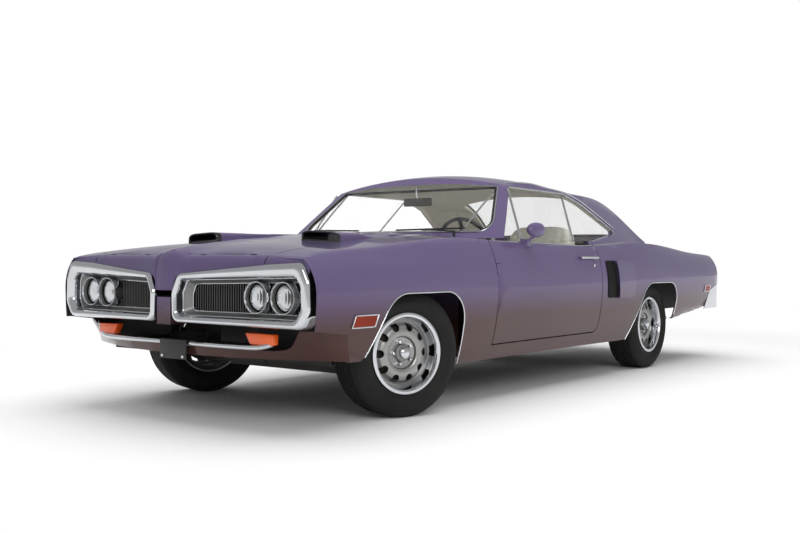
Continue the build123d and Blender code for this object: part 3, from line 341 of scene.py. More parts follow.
# lower edge of the quarters behind the wheel
def skirtLine(y):
    return tailSkirt["low"] + (y - tailSkirt["from"]) * tailSkirt["slope"]


# where the hood's flat top ends and its front begins to fall
def apronBack(x):
    return max(apronShape["back"],
               loopFront + sweepSlope * abs(x) + apronShape["setback"] + apronShape["fall"])


def sagAt(y, z):
    reach = sagShape["middle"] - (sagShape["front"] if y < sagShape["middle"] else sagShape["rear"])
    along = min(1.0, abs((sagShape["middle"] - y) / reach))
    high = min(1.0, max(0.0, (z - sagShape["from"]) / (sagShape["to"] - sagShape["from"])))
    return sagShape["deep"] * high * (cos(pi * along) + 1) / 2


def keepPanelEdges(mesh):
    facing = {}
    for polygon in mesh.polygons:
        for key in polygon.edge_keys:
            facing.setdefault(key, []).append(polygon.normal)
    for edge in mesh.edges:
        first, second = (mesh.vertices[index].co for index in edge.vertices)
        normals = facing.get(edge.key, [])
        if within(raisedPanel["box"], (first + second) / 2) and len(normals) == 2:
            if normals[0].angle(normals[1], 0) > radians(raisedPanel["leastStep"]):
                edge.use_edge_sharp = True


# per node: the finishes after the paint, each with the test that picks its faces
panelNodes = {
    "fender_left": [(undercoat, facesInward)], "fender_right": [(undercoat, facesInward)],
    "quarter_left": [(undercoat, facesInward)], "quarter_right": [(undercoat, facesInward)],
    "roof": [(headCloth, roofLining)], "cowl": [],
    "door_left": [(doorCard, facesInward), (chrome, isHandle)],
    "door_right": [(doorCard, facesInward), (chrome, isHandle)],
    "hood": [(undercoat, underLid)], "decklid": [(undercoat, underLid)], "tail_panel": [],
    "nose_panel": [(undercoat, paintedShadeBehindNose)],
}
takenOff = {"hood": (onNose, onScoop), "door_left": (onMirror,)}
panelSurfaces = {}
for node, extras in panelNodes.items():
    panel = mergedCopy(node)
    panel.normal_update()
    for test in takenOff.get(node, ()):
        bmesh.ops.delete(panel, geom=[face for face in panel.faces if test(face)], context="FACES")
    for vert in panel.verts:
        place = vert.co
        if node in ("hood", "fender_left", "fender_right"):
            place.z -= sagAt(place.y, place.z)
            if place.y < -2.05:
                place.z = max(place.z, fenderLow)
        if node.startswith("quarter") and place.y > tailSkirt["from"]:
            place.z = max(place.z, skirtLine(place.y))
        if node == "hood":
            place.y = max(place.y, apronBack(place.x) - 0.002)
        if node == "nose_panel" and place.y < fillerRear:
            place.z = min(place.z, fillerTop)
    panel.normal_update()
    panelSurfaces[node] = BVHTree.FromBMesh(panel)
    for face in panel.faces:
        for index, (finish, picks) in enumerate(extras):
            if picks(face):
                face.material_index = index + 1
    finishes = [paint] + [finish for finish, picks in extras]
    skin = makePiece(node + "Skin", panel, finishes, bodyOf[node], 28, [node])
    if node.startswith("quarter"):
        keepPanelEdges(skin.data)
print("painted panels")


def firstHit(tree, start, way):
    place, normal, index, reach = tree.ray_cast(Vector(start), Vector(way))
    return place, normal


def bevelled(bm, edges, offset, segments):
    bmesh.ops.bevel(bm, geom=edges, offset=offset, affect="EDGES", segments=segments, profile=0.5,
                    material=-1)


# ring or dome about Z from (radius, height) points
def spun(profile, steps=96, closed=True):
    bm = bmesh.new()
    points = [bm.verts.new((radius, 0, height)) for radius, height in profile]
    edges = [bm.edges.new(pair) for pair in zip(points, points[1:] + (points[:1] if closed else []))]
    bmesh.ops.spin(bm, geom=points + edges, cent=(0, 0, 0), axis=(0, 0, 1), angle=tau, steps=steps,
                   use_merge=True)
    bmesh.ops.remove_doubles(bm, verts=bm.verts, dist=tinyReach)
    return faceOut(bm)


def boxAt(bm, low, high, bevel=0.0):
    size = [b - a for a, b in zip(low, high)]
    middle = [(a + b) / 2 for a, b in zip(low, high)]
    made = bmesh.ops.create_cube(bm, size=1, matrix=Matrix.Translation(middle) @ Matrix.Diagonal((*size, 1)))
    if bevel:
        bevelled(bm, list({edge for vert in made["verts"] for edge in vert.link_edges}), bevel, 3)


def raised(bm, corners, reach):
    face = bm.faces.new([bm.verts.new(corner) for corner in corners])
    parts = bmesh.ops.extrude_face_region(bm, geom=[face])["geom"]
    bmesh.ops.translate(bm, verts=[part for part in parts if isinstance(part, bmesh.types.BMVert)], vec=reach)


def joinInto(target, source, matrix):
    mesh = meshFrom(source, "part")
    mesh.transform(matrix)
    target.from_mesh(mesh)
    bpy.data.meshes.remove(mesh)


def placed(bm, matrix):
    bmesh.ops.transform(bm, matrix=matrix, verts=bm.verts)
    return bm


def quarterTurn(axis, turns=1):
    return Matrix.Rotation(radians(90 * turns), 4, axis)


# skin over rows of points that have the same count, open or as rings
def skinOver(rows, rings=False):
    bm, lines = bmesh.new(), []
    for row in rows:
        verts = [bm.verts.new(point) for point in row]
        lines.append([bm.edges.new(pair) for pair in zip(verts, verts[1:] + (verts[:1] if rings else []))])
    for first, second in zip(lines, lines[1:]):
        bmesh.ops.bridge_loops(bm, edges=first + second)
    return bm, lines


def thickened(bm, thickness, facing=None):
    faceOut(bm)
    if facing:
        bm.normal_update()
        if sum(face.normal.dot(Vector(facing)) for face in bm.faces) < 0:
            bmesh.ops.reverse_faces(bm, faces=bm.faces)
    bmesh.ops.solidify(bm, geom=bm.faces, thickness=thickness)
    return faceOut(bm)


# the first object's mesh with its modifiers; all the objects go
def finalMesh(*holders):
    bpy.context.view_layer.update()
    mesh = bpy.data.meshes.new_from_object(holders[0].evaluated_get(bpy.context.evaluated_depsgraph_get()))
    for holder in holders:
        bpy.data.objects.remove(holder)
    return mesh


# round trim along a line of points
def trimLine(name, points, radius, closed=False, finish=chrome, body="body", standsFor=()):
    curve = bpy.data.curves.new("line", "CURVE")
    curve.dimensions = "3D"
    spline = curve.splines.new("POLY")
    spline.points.add(len(points) - 1)
    for place, point in zip(points, spline.points):
        point.co = (*place, 1)
    spline.use_cyclic_u = closed
    curve.bevel_depth = radius
    curve.bevel_resolution = 3
    curve.use_fill_caps = not closed
    bm = bmeshFrom(finalMesh(linked("line", curve)))
    bmesh.ops.remove_doubles(bm, verts=bm.verts, dist=weldReach)
    bpy.data.curves.remove(curve)
    makePiece(name, faceOut(bm), finish, body, 60, standsFor)


# lines along a node's sharp edges whose middles pass a test, each a list of places
def edgeChains(node, keep, outward):
    bm = mergedCopy(node)
    bm.normal_update()
    links = {}
    for edge in bm.edges:
        if len(edge.link_faces) != 2 or edge.calc_face_angle() < radians(50):
            continue
        first, second = edge.verts
        middle = (first.co + second.co) / 2
        if keep(middle) and any(outward(face, middle) for face in edge.link_faces):
            links.setdefault(first.index, set()).add(second.index)
            links.setdefault(second.index, set()).add(first.index)
    bm.verts.ensure_lookup_table()
    chains, used = [], set()
    for start in sorted(links, key=lambda index: (len(links[index]) != 1, index)):
        chain, ahead = [], [start]
        while ahead := [index for index in ahead if index not in used]:
            used.add(ahead[0])
            chain.append(ahead[0])
            ahead = links[ahead[0]]
        if len(chain) > 3:
            chains.append([bm.verts[index].co.copy() for index in chain])
    bm.free()
    return chains


def thinned(points, spacing=0.01):
    kept = [points[0]]
    for point in points[1:-1]:
        if (point - kept[-1]).length > spacing:
            kept.append(point)
    return kept + [points[-1]]


def denser(points, step=0.03):
    result = []
    for here, ahead in zip(points, points[1:]):
        here, ahead = Vector(here), Vector(ahead)
        count = max(1, round((ahead - here).length / step))
        result += [here.lerp(ahead, index / count) for index in range(count)]
    return result + [Vector(points[-1])]


def smoothed(points, passes):
    for turn in range(passes):
        points = [points[0]] + [(a + b * 2 + c) / 4 for a, b,
                                c in zip(points, points[1:], points[2:])] + [points[-1]]
    return points


def steppedFrom(start, end, count):
    return [start + (end - start) * step / count for step in range(count + 1)]


def alongLine(line, x):
    for (x0, v0), (x1, v1) in zip(line, line[1:]):
        if x <= x1:
            return v0 + (v1 - v0) * max(0.0, (x - x0) / (x1 - x0))
    return line[-1][1]


def grownFrom(points, middle, reach):
    return [point + (point - middle).normalized() * reach for point in points]


tyreShape = {"radius": 0.325, "tread": 0.08, "grooves": (-0.056, -0.028, 0.0, 0.028, 0.056),
             "groove": (0.0035, 0.007)}
# (radius, half-width) from the bead to the tread
sidewall = [(0.199, 0.08), (0.203, 0.0885), (0.2065, 0.0925), (0.21, 0.0925), (0.2135, 0.095),
            (0.225, 0.1045), (0.24, 0.1115), (0.255, 0.1145), (0.256, 0.1158), (0.262, 0.116),
            (0.263, 0.1148), (0.28, 0.1125), (0.296, 0.106), (0.307, 0.0985), (0.3085, 0.0985),
            (0.3145, 0.0925), (0.319, 0.087), (0.3225, 0.083)]


def tyreProfile(shape):
    half, depth = shape["groove"]
    radius = shape["radius"]
    tread = [(radius, shape["tread"])]
    for place in reversed(shape["grooves"]):
        tread += [(radius, place + half), (radius - depth, place + half * 0.7),
                  (radius - depth, place - half * 0.7), (radius, place - half)]
    tread.append((radius, -shape["tread"]))
    return sidewall + tread + [(ring, -width) for ring, width in reversed(sidewall)]


trimRing = [(0.208, 0.09), (0.209, 0.096), (0.207, 0.101), (0.201, 0.103), (0.193, 0.103), (0.187, 0.101),
            (0.1835, 0.096), (0.18, 0.083), (0.1755, 0.06), (0.1715, 0.042), (0.17, 0.033), (0.1725, 0.033),
            (0.176, 0.052), (0.185, 0.09), (0.195, 0.0985), (0.203, 0.098), (0.205, 0.09)]
wheelDisc = [(0.044, 0.046), (0.079, 0.046), (0.0815, 0.047), (0.0828, 0.05), (0.0845, 0.0575),
             (0.088, 0.0605), (0.1, 0.063), (0.114, 0.0625), (0.127, 0.0595), (0.1345, 0.056),
             (0.1365, 0.0578), (0.1395, 0.0572), (0.141, 0.054), (0.148, 0.042), (0.156, 0.033),
             (0.164, 0.03), (0.174, 0.03), (0.174, 0.0255), (0.155, 0.028), (0.138, 0.049), (0.114, 0.057),
             (0.09, 0.0555), (0.086, 0.052), (0.081, 0.0415), (0.044, 0.0415)]
# black ring of painted shade in the step round the disc's middle
recessShadeRing = [(0.08, 0.0468), (0.0815, 0.0488), (0.0835, 0.0492), (0.0842, 0.047), (0.082, 0.0455)]
barrel = [(0.196, -0.095), (0.204, -0.095), (0.2045, 0.09), (0.2, 0.09), (0.186, 0.05), (0.174, 0.03),
          (0.17, 0.02), (0.17, -0.06), (0.19, -0.08)]
capBase = [(0.0, 0.04), (0.046, 0.04), (0.046, 0.056), (0.043, 0.064), (0.036, 0.067), (0.0, 0.067)]
capDome = [(0.0, 0.066), (0.029, 0.066), (0.0285, 0.079), (0.0262, 0.085), (0.0205, 0.089), (0.011, 0.0912),
           (0.0, 0.0918)]
lugNut = [(0.0, 0.044), (0.0125, 0.044), (0.0125, 0.05), (0.0105, 0.052), (0.0105, 0.062), (0.0085, 0.067),
          (0.0045, 0.0692), (0.0, 0.0696)]
brakeDrum = [(0.0, 0.018), (0.13, 0.018), (0.14, 0.008), (0.14, -0.03), (0.025, -0.03), (0.0, -0.03)]
slotSet = {"count": 10, "centre": 0.137, "inner": 0.114, "outer": 0.153, "half": 0.0205, "taper": 0.92,
           "steps": 14}
nutSet = {"count": 5, "reach": 0.0575}
rearWheels = {"track": 1.504, "axle": 1.292}


# D-shaped prisms round the disc, their straight sides outwards
def slotCutter(look):
    cutters = bmesh.new()
    rise, half = look["centre"] - look["inner"], look["half"]
    turns = [pi / 2 + pi * step / look["steps"] for step in range(look["steps"] + 1)]
    points = [(look["centre"] + rise * cos(turn), half * sin(turn)) for turn in turns]
    points = [(look["outer"], half * look["taper"])] + points + [(look["outer"], -half * look["taper"])]
    for index in range(look["count"]):
        one = bmesh.new()
        raised(one, [(x, y, 0.0) for x, y in points], (0, 0, 0.09))
        joinInto(cutters, faceOut(one), Matrix.Rotation(tau * index / look["count"], 4, "Z"))
    return cutters


def carved(bm, cutter):
    holders = [linked("carved", meshFrom(part, "carved")) for part in (bm, cutter)]
    cut = holders[0].modifiers.new("cut", "BOOLEAN")
    cut.operation = "DIFFERENCE"
    cut.solver = "EXACT"
    cut.object = holders[1]
    return finalMesh(*holders)


# matrix whose Z points outboard along the wheel's own axis
def wheelPlace(corner):
    joint = next(joint for joint in behaviour["joints"] if joint["name"] == f"wheel_{corner}_spin")
    side = 1 if corner.endswith("left") else -1
    outboard, up = Vector(joint["axis"]).normalized() * side, Vector((0, 0, 1))
    matrix = Matrix((up.cross(outboard).normalized(), up, outboard)).transposed().to_4x4()
    rear = (side * rearWheels["track"] / 2, rearWheels["axle"], tyreShape["radius"])
    matrix.translation = joint["pos_m"] if corner.startswith("front") else rear
    return matrix


discMesh = carved(spun(wheelDisc, 120), slotCutter(slotSet))
for corner in ("front_left", "front_right", "rear_left", "rear_right"):
    place, body = wheelPlace(corner), "wheel_" + corner
    tyre = placed(spun(tyreProfile(tyreShape), 128), place)
    makePiece(f"tyre_{corner}Rubber", tyre, tyreRubber, body, 40, [f"tyre_{corner}"])
    makePiece(f"rim_{corner}Disc", placed(bmeshFrom(discMesh), place), wheelSilver, body, 30,
              [f"rim_{corner}"])
    for name, profile, finish in (
            ("TrimRing", trimRing, chrome), ("Barrel", barrel, wheelSilver),
            ("RecessLine", recessShadeRing, lampBlack), ("CapBase", capBase, bezelGrey),
            ("CapDome", capDome, chrome), ("Drum", brakeDrum, castIron)):
        makePiece(f"rim_{corner}{name}", placed(spun(profile), place), finish, body, 30)
    nuts = bmesh.new()
    for index in range(nutSet["count"]):
        turn = Matrix.Rotation(tau * (index + 0.5) / nutSet["count"], 4, "Z")
        joinInto(nuts, spun(lugNut, 6), turn @ Matrix.Translation((nutSet["reach"], 0, 0)))
    makePiece(f"rim_{corner}Nuts", placed(nuts, place), chrome, body, 30)
print("wheels")

loopSweep = radians(5.2)
loopOuter = [(0.072, 0.49), (0.85, 0.482), (0.908, 0.56), (0.902, 0.7), (0.862, 0.79), (0.64, 0.778),
             (0.108, 0.732), (0.066, 0.64)]
loopOuterRadii = [0.04, 0.05, 0.07, 0.06, 0.045, 0.2, 0.04, 0.06]
loopInner = [(0.1, 0.526), (0.818, 0.524), (0.846, 0.58), (0.842, 0.68), (0.812, 0.716), (0.64, 0.712),
             (0.128, 0.698), (0.098, 0.63)]
loopInnerRadii = [0.03, 0.04, 0.05, 0.04, 0.03, 0.15, 0.025, 0.04]
bezelInner = [(0.128, 0.546), (0.796, 0.544), (0.818, 0.586), (0.815, 0.668), (0.792, 0.694), (0.64, 0.691),
              (0.15, 0.678), (0.128, 0.63)]


# closed outline with every corner an arc of the same number of points
def roundedOutline(points, radii, steps=10):
    result = []
    for index, (corner, radius) in enumerate(zip(points, radii)):
        here = Vector(corner)
        back = (Vector(points[index - 1]) - here).normalized()
        ahead = (Vector(points[(index + 1) % len(points)]) - here).normalized()
        half = back.angle(ahead) / 2
        reach = radius / tan(half)
        centre = here + (back + ahead).normalized() * (radius / sin(half))
        start, end = here + back * reach - centre, here + ahead * reach - centre
        for step in range(steps + 1):
            share = step / steps
            result.append(centre + (start * (1 - share) + end * share).normalized() * radius)
    return result


# a place on the front end, turned back with the loops, on the left (1) or right (-1)
def fallBack(x, y, z, side):
    deep = y - loopFront
    turned = Vector((x * cos(loopSweep) - deep * sin(loopSweep), x * sin(loopSweep) + deep * cos(loopSweep)))
    return Vector((turned.x * side, turned.y + loopFront, z))


# ring of rows of (x, depth, z) points behind the loops' front
def loopRing(rows, side, closed=True):
    places = [[fallBack(x, loopFront + deep, z, side) for x, deep, z in row] for row in rows]
    bm, lines = skinOver(places, True)
    if closed:
        bmesh.ops.bridge_loops(bm, edges=lines[-1] + lines[0])
    return faceOut(bm)


def between(first, second, share, deep):
    return [(a.x + (b.x - a.x) * share, deep, a.y + (b.y - a.y) * share) for a, b in zip(first, second)]


# share of the way from the outer to the inner outline, and depth behind the front
loopSection = [(0.0, 0.096), (0.0, 0.034), (0.04, 0.019), (0.14, 0.007), (0.3, 0.001), (0.5, 0.0),
               (0.7, 0.003), (0.86, 0.01), (0.95, 0.018), (1.0, 0.03), (1.0, 0.06), (0.9, 0.075),
               (0.8, 0.096)]
wallSection = [(0.0, 0.058), (0.1, 0.062), (0.9, 0.094), (1.0, 0.098), (1.0, 0.108), (0.8, 0.108),
               (-0.06, 0.066)]
bezelLines = {"bezelLineOuter": (0.02, 0.058), "bezelLineInner": (1.0, 0.096)}
bezelLineRadius = 0.003
linerSet = {"front": 0.1, "rear": 0.19, "sheet": 0.002}
barSet = {"first": 0.112, "last": 0.832, "pitch": 0.015, "low": 0.536, "high": 0.702, "front": 0.1,
          "depth": 0.016, "half": 0.0026, "edgeHalf": 0.0011, "edge": 0.0022, "gap": 0.002}
lampSet = {"places": ((0.556, 0.622), (0.712, 0.622)), "front": -2.515}
lampBezel = [(0.0755, 0.05), (0.0755, 0.003), (0.0745, 0.0), (0.0725, 0.0), (0.0715, 0.002), (0.0712, 0.006),
             (0.07, 0.006), (0.0685, 0.05)]
lampBucket = [(0.0705, 0.006), (0.0712, 0.046), (0.064, 0.046), (0.0625, 0.044), (0.064, 0.04),
              (0.068, 0.036), (0.0695, 0.006)]
lampRetainer = [(0.0662, 0.036), (0.0662, 0.024), (0.0645, 0.0215), (0.0612, 0.0225), (0.06, 0.026),
                (0.0605, 0.036)]
lampLens = [(0.0, 0.0085), (0.018, 0.0095), (0.034, 0.013), (0.048, 0.0185), (0.0575, 0.025), (0.0612, 0.03),
            (0.0612, 0.033), (0.056, 0.029), (0.046, 0.0225), (0.033, 0.0175), (0.018, 0.014), (0.0, 0.013)]
lampMirror = [(0.0612, 0.0335), (0.05, 0.044), (0.035, 0.054), (0.018, 0.06), (0.0, 0.062), (0.0, 0.064),
              (0.018, 0.062), (0.035, 0.056), (0.052, 0.0455), (0.063, 0.0345)]

lensGlass = makeGlass("lensGlass", (0.97, 0.98, 0.98), 1.0)
outer = roundedOutline(loopOuter, loopOuterRadii)
inner = roundedOutline(loopInner, loopInnerRadii)
bezel = roundedOutline(bezelInner, [radius * 0.8 for radius in loopInnerRadii])
turnBack = Matrix.Translation((0, loopFront, 0)) @ Matrix([
    (cos(loopSweep), -sin(loopSweep), 0), (sin(loopSweep), cos(loopSweep), 0), (0, 0, 1)]).to_4x4()
for side, word in ((1, "Left"), (-1, "Right")):
    rows = [between(outer, inner, share, deep) for share, deep in loopSection]
    makePiece("loop" + word, loopRing(rows, side), chrome, standsFor=["front_loops"] if side > 0 else ())
    rows = [between(inner, bezel, share, deep) for share, deep in wallSection]
    makePiece("bezelWall" + word, loopRing(rows, side), bezelGrey, sharpAngle=40)
    for name, (share, deep) in bezelLines.items():
        path = [fallBack(x, loopFront + y, z, side) for x, y, z in between(inner, bezel, share, deep)]
        trimLine(name + word, path, bezelLineRadius, True)
    liner = loopRing([between(bezel, bezel, 0, linerSet[end]) for end in ("front", "rear")], side, False)
    rearEdges = [edge for edge in liner.edges if edge.is_boundary and edge.verts[0].co.y > loopFront + 0.15]
    bmesh.ops.edgeloop_fill(liner, edges=rearEdges)
    bmesh.ops.solidify(liner, geom=liner.faces, thickness=linerSet["sheet"])
    makePiece("grilleLiner" + word, faceOut(liner), lampBlack, "body", 30, ["grilles"] if side > 0 else ())
    bars, edges = bmesh.new(), bmesh.new()
    x, front = barSet["first"], loopFront + barSet["front"]
    while x < barSet["last"]:
        boxAt(bars, (x - barSet["half"], front + barSet["gap"], barSet["low"]),
              (x + barSet["half"], front + barSet["depth"], barSet["high"]))
        boxAt(edges, (x - barSet["edgeHalf"], front, barSet["low"]),
              (x + barSet["edgeHalf"], front + barSet["edge"], barSet["high"]))
        x += barSet["pitch"]
    sweepPlace = Matrix.Diagonal((side, 1, 1, 1)) @ turnBack @ Matrix.Translation((0, -loopFront, 0))
    for name, part, finish in (("grilleBars", bars, blackTrim), ("grilleEdges", edges, bezelGrey)):
        slot = "chrome" if part is edges else None
        makePiece(name + word, faceOut(placed(part, sweepPlace)), finish, sharpAngle=30, slot=slot)
    for index, (x, z) in enumerate(lampSet["places"]):
        front = lampSet["front"] + (x - lampSet["places"][0][0]) * sin(loopSweep)
        facing = Matrix.Translation((x * side, front, z)) @ quarterTurn("X", -1)
        for name, profile, finish, closed in (
                ("lampBezel", lampBezel, chrome, True), ("lampBucket", lampBucket, bezelGrey, True),
                ("lampRetainer", lampRetainer, lampBlack, True), ("lampLens", lampLens, lensGlass, False),
                ("lampMirror", lampMirror, chrome, False)):
            standsFor = ["headlamps"] if (side, index, name) == (1, 0, "lampBezel") else ()
            lamp = placed(spun(profile, closed=closed), facing)
            makePiece(f"{name}{word}{index + 1}", lamp, finish, "body", 35, standsFor)
print("front end")

surfaces = {}


def surfaceOf(node):
    if node not in surfaces:
        bm = mergedCopy(node)
        surfaces[node] = BVHTree.FromBMesh(bm)
        bm.free()
    return surfaces[node]


# the outer face of a panel at a length and height, met square from its own side
def onPanel(node, y, z, side, lift=0.0):
    place, normal = firstHit(surfaceOf(node), (1.3 * side, y, z), (-side, 0, 0))
    return place + normal * lift if place and place.x * side > 0.4 else None


def alongPanel(node, points, side, lift=0.0):
    found = (onPanel(node, y, z, side, lift) for y, z in points)
    return [place for place in found if place]


def onTop(node, x, y, lift):
    place, normal = firstHit(surfaceOf(node), (x, y, 1.6), (0, 0, -1))
    return place + Vector((0, 0, lift)) if place else None


# height of the dressed hood or fender under a place
def skinTop(x, y):
    for node in ("hood", "fender_left", "fender_right"):
        place, normal = firstHit(panelSurfaces[node], (x, y, 1.6), (0, 0, -1))
        if place and place.z > 0.7:
            return place.z
    return None


# the loops' upper edge: distance from the middle, and height
loopTop = [(0.066, 0.69), (0.082, 0.722), (0.108, 0.732), (0.3, 0.748), (0.64, 0.776), (0.83, 0.788),
           (0.868, 0.77), (0.89, 0.735)]


# a rounded fall from the hood's front edge to the loops, or to the nose's tip between them
def apronRow(x):
    shape, reach = apronShape, abs(x)
    front = loopFront + sweepSlope * reach + shape["setback"]
    front += (shape["noseFront"] - front) * (cos(pi * min(1.0, reach / shape["flare"])) + 1) / 2
    front -= shape["crease"] * max(0.0, 1 - reach / shape["noseHalf"])
    low = shape["noseLow"] if reach < shape["noseHalf"] else alongLine(loopTop, reach) - 0.01
    back = apronBack(x)
    height = next((found for found in (skinTop(x, back + shift) for shift in (0, 0.012, 0.03,
            0.06)) if found), None)
    if height is None:
        return None
    start, end, bend = Vector((x, back, height + 0.0015)), Vector((x, front, low)), Vector((x, front,
            height - 0.004))
    shares = steppedFrom(0.0, 1.0, shape["steps"])
    return [start * (1 - t) ** 2 + bend * 2 * t * (1 - t) + end * t ** 2 for t in shares]


def apron(places):
    rows = [row for row in (apronRow(x) for x in places) if row]
    return thickened(skinOver(rows)[0], 0.0012, (0, -1, 0))


nosePlaces = [0.0, 0.025, 0.05, 0.0699, 0.0702, 0.08, 0.09, 0.1] + steppedFrom(0.115, apronShape["split"], 30)
nosePlaces = [-x for x in reversed(nosePlaces[1:])] + nosePlaces
makePiece("noseApron", apron(nosePlaces), paint, bodyOf["hood"], 30)
for side, word in bothSides:
    places = steppedFrom((apronShape["split"] + 0.005) * side, apronShape["end"] * side, 20)
    makePiece(f"fenderApron_{word}", apron(places), paint, sharpAngle=30)

# the panel below the loops, by distance from the middle: its plan at its top and bottom, and its upper edge
chinTop = [(0.0, -2.5), (0.52, -2.492), (0.7, -2.47), (0.8, -2.435), (0.87, -2.385), (0.91, -2.335),
           (0.926, -2.305)]
chinBottom = [(0.0, -2.5), (0.2, -2.495), (0.4, -2.466), (0.6, -2.413), (0.75, -2.352), (0.86, -2.305),
              (0.926, -2.275)]
chinEdge = [(0.0, 0.372), (0.6, 0.372), (0.66, 0.378), (0.7, 0.396), (0.74, 0.44), (0.765, 0.472),
            (0.926, 0.474)]
chinSet = {"half": 0.926, "low": 0.33, "high": 0.474, "swell": 0.01, "sheet": 0.002, "trayHalf": 0.7,
           "trayRear": -2.215}


# from the lower edge (0) to the upper one (1)
def chinPoint(x, share):
    reach, low = abs(x), chinSet["low"]
    z = low + (alongLine(chinEdge, reach) - low) * share
    high = (z - low) / (chinSet["high"] - low)
    y = alongLine(chinBottom, reach) * (1 - high) + alongLine(chinTop, reach) * high
    return (x, y - chinSet["swell"] * sin(pi * high) * (1 - reach), z)


rows = [[chinPoint(x, share) for share in steppedFrom(0, 1, 8)]
        for x in steppedFrom(-chinSet["half"], chinSet["half"], 120)]
chin = thickened(skinOver(rows)[0], chinSet["sheet"])
makePiece("chinPanel", chin, paint, "body", 40, ["front_valance"])
rows = [[(x, y, chinSet["low"] + 0.002) for y in (alongLine(chinBottom, abs(x)) + 0.006, chinSet["trayRear"])]
        for x in steppedFrom(-chinSet["trayHalf"], chinSet["trayHalf"], 40)]
makePiece("chinTray", thickened(skinOver(rows)[0], 0.003), undercoat, sharpAngle=40)

scoopShape = {"inner": 0.318, "outer": 0.562, "narrowing": 0.02, "front": -1.95, "rear": -1.3,
              "height": 0.052, "fall": 1.25, "rim": 0.01, "deep": 0.1, "mouthLow": 0.008, "crown": 5.0,
              "count": 40, "foot": 0.004}
scoopShares = [0.045, 0.06, 0.1, 0.16, 0.24, 0.32, 0.42, 0.52, 0.62, 0.72, 0.82, 0.91, 1.0]


# closed outline of the scoop across the car, from its front (0) to its rear (1)
def scoopRow(share, inset=0.0, shift=0.0, low=0.0):
    shape, count = scoopShape, scoopShape["count"]
    y = shape["front"] + (shape["rear"] - shape["front"]) * share
    inner, outer = shape["inner"] + inset, shape["outer"] - shape["narrowing"] * share - inset
    zInner, zOuter = skinTop(inner - inset - 0.006, y) or 0.9, skinTop(outer + inset + 0.006, y) or 0.9
    high = shape["height"] * (1 - share) ** shape["fall"] + 0.0015
    row = []
    for step in range(count + 1):
        turn, atEnd = pi * (step / count), step in (0, count)
        across = copysign(abs(cos(turn)) ** (2 / shape["crown"]), cos(turn))
        rise = 0.0 if atEnd else sin(turn) ** (2 / shape["crown"])
        x = (inner + outer) / 2 - across * (outer - inner) / 2
        base = zInner + (zOuter - zInner) * (x - inner) / (outer - inner)
        foot = shape["foot"] if atEnd and not inset else 0.0
        row.append(Vector((x, y + shift, base + max(low, rise * (high - inset)) - foot)))
    return row


def scoopSkin(rows, side):
    bm, lines = skinOver([[(point.x * side, point.y, point.z) for point in row] for row in rows], True)
    bmesh.ops.edgeloop_fill(bm, edges=lines[-1])
    return faceOut(bm)


rim, mouthLow = scoopShape["rim"], scoopShape["mouthLow"]
# the mouth's rim and a closed pocket behind it in gloss black: painted shade of the scoop's opening
lip = [scoopRow(0.047), scoopRow(0.004), scoopRow(0.0, 0.003, -0.002), scoopRow(0.0, rim, 0.001, mouthLow),
       scoopRow(0.0, rim + 0.002, scoopShape["deep"], mouthLow)]
for side, word in ((1, "Left"), (-1, "Right")):
    body = scoopSkin([scoopRow(share) for share in scoopShares], side)
    makePiece("scoopBody" + word, body, paint, bodyOf["hood"], 40)
    makePiece("scoopMouth" + word, scoopSkin(lip, side), glossBlack, bodyOf["hood"], 40)

archSet = {"radius": 0.0042, "fender": (-2.24, -1.33), "quarter": (0.74, 1.6)}
archBox = {"x": (0.86, 2), "z": (0.16, 0.66)}
besideArch = {"y": (0.45, 0.83), "z": (0.5, 2)}


def arcLip(middle):
    return within(archBox, middle) and not within(besideArch, middle)


def lipKept(point):
    frontKept = point.y > -2.05 or point.z > fenderLow
    return frontKept and (point.y < tailSkirt["from"] or point.z > skirtLine(point.y))


for side, word in bothSides:
    for panel in ("fender", "quarter"):
        (low, high), node = archSet[panel], f"{panel}_{word}"
        found = edgeChains(node, lambda middle: arcLip(middle) and low < middle.y < high, facesOutward)
        for index, chain in enumerate(found):
            chain = [point for point in chain if lipKept(point)]
            trimLine(f"archLip_{node}{index}", thinned(chain), archSet["radius"])

# side windows: bright frame on the outer edge and the drip rail above
windowOutline = [(-0.8, 0.934), (0.4, 0.937), (0.795, 0.986), (0.83, 1.008), (0.48, 1.18), (0.235, 1.244),
                 (-0.462, 1.249)]
windowRadii = [0.004, 0.06, 0.012, 0.012, 0.15, 0.1, 0.025]
dripLine = [(-0.846, 0.96), (-0.69, 1.098), (-0.5, 1.262), (-0.44, 1.281), (-0.15, 1.29), (0.22, 1.279),
            (0.5, 1.208), (0.7, 1.112), (0.868, 1.026)]
# per post: its radius and its two ends on the left
postSet = {"ventPost": (0.0075, (0.852, -0.612, 0.925), (0.69, -0.5, 1.24)),
           "rearPost": (0.0065, (0.846, 0.066, 0.925), (0.668, 0.24, 1.226))}
windowLook = {"middle": (0.05, 1.08), "frame": 0.0048, "drip": 0.0058, "belt": 0.0052, "low": 0.955}
lockProfile = [(0.0, 0.0), (0.0115, 0.0), (0.0115, 0.004), (0.0095, 0.0062), (0.0, 0.0062)]
# the mouth of the side scoop, by its corners in length and height, and the ends of the flank's line beside it
mouthSet = {"corners": ((0.36, 0.798), (0.489, 0.798), (0.521, 0.55), (0.382, 0.55)), "ahead": 0.335,
            "behind": 0.85}


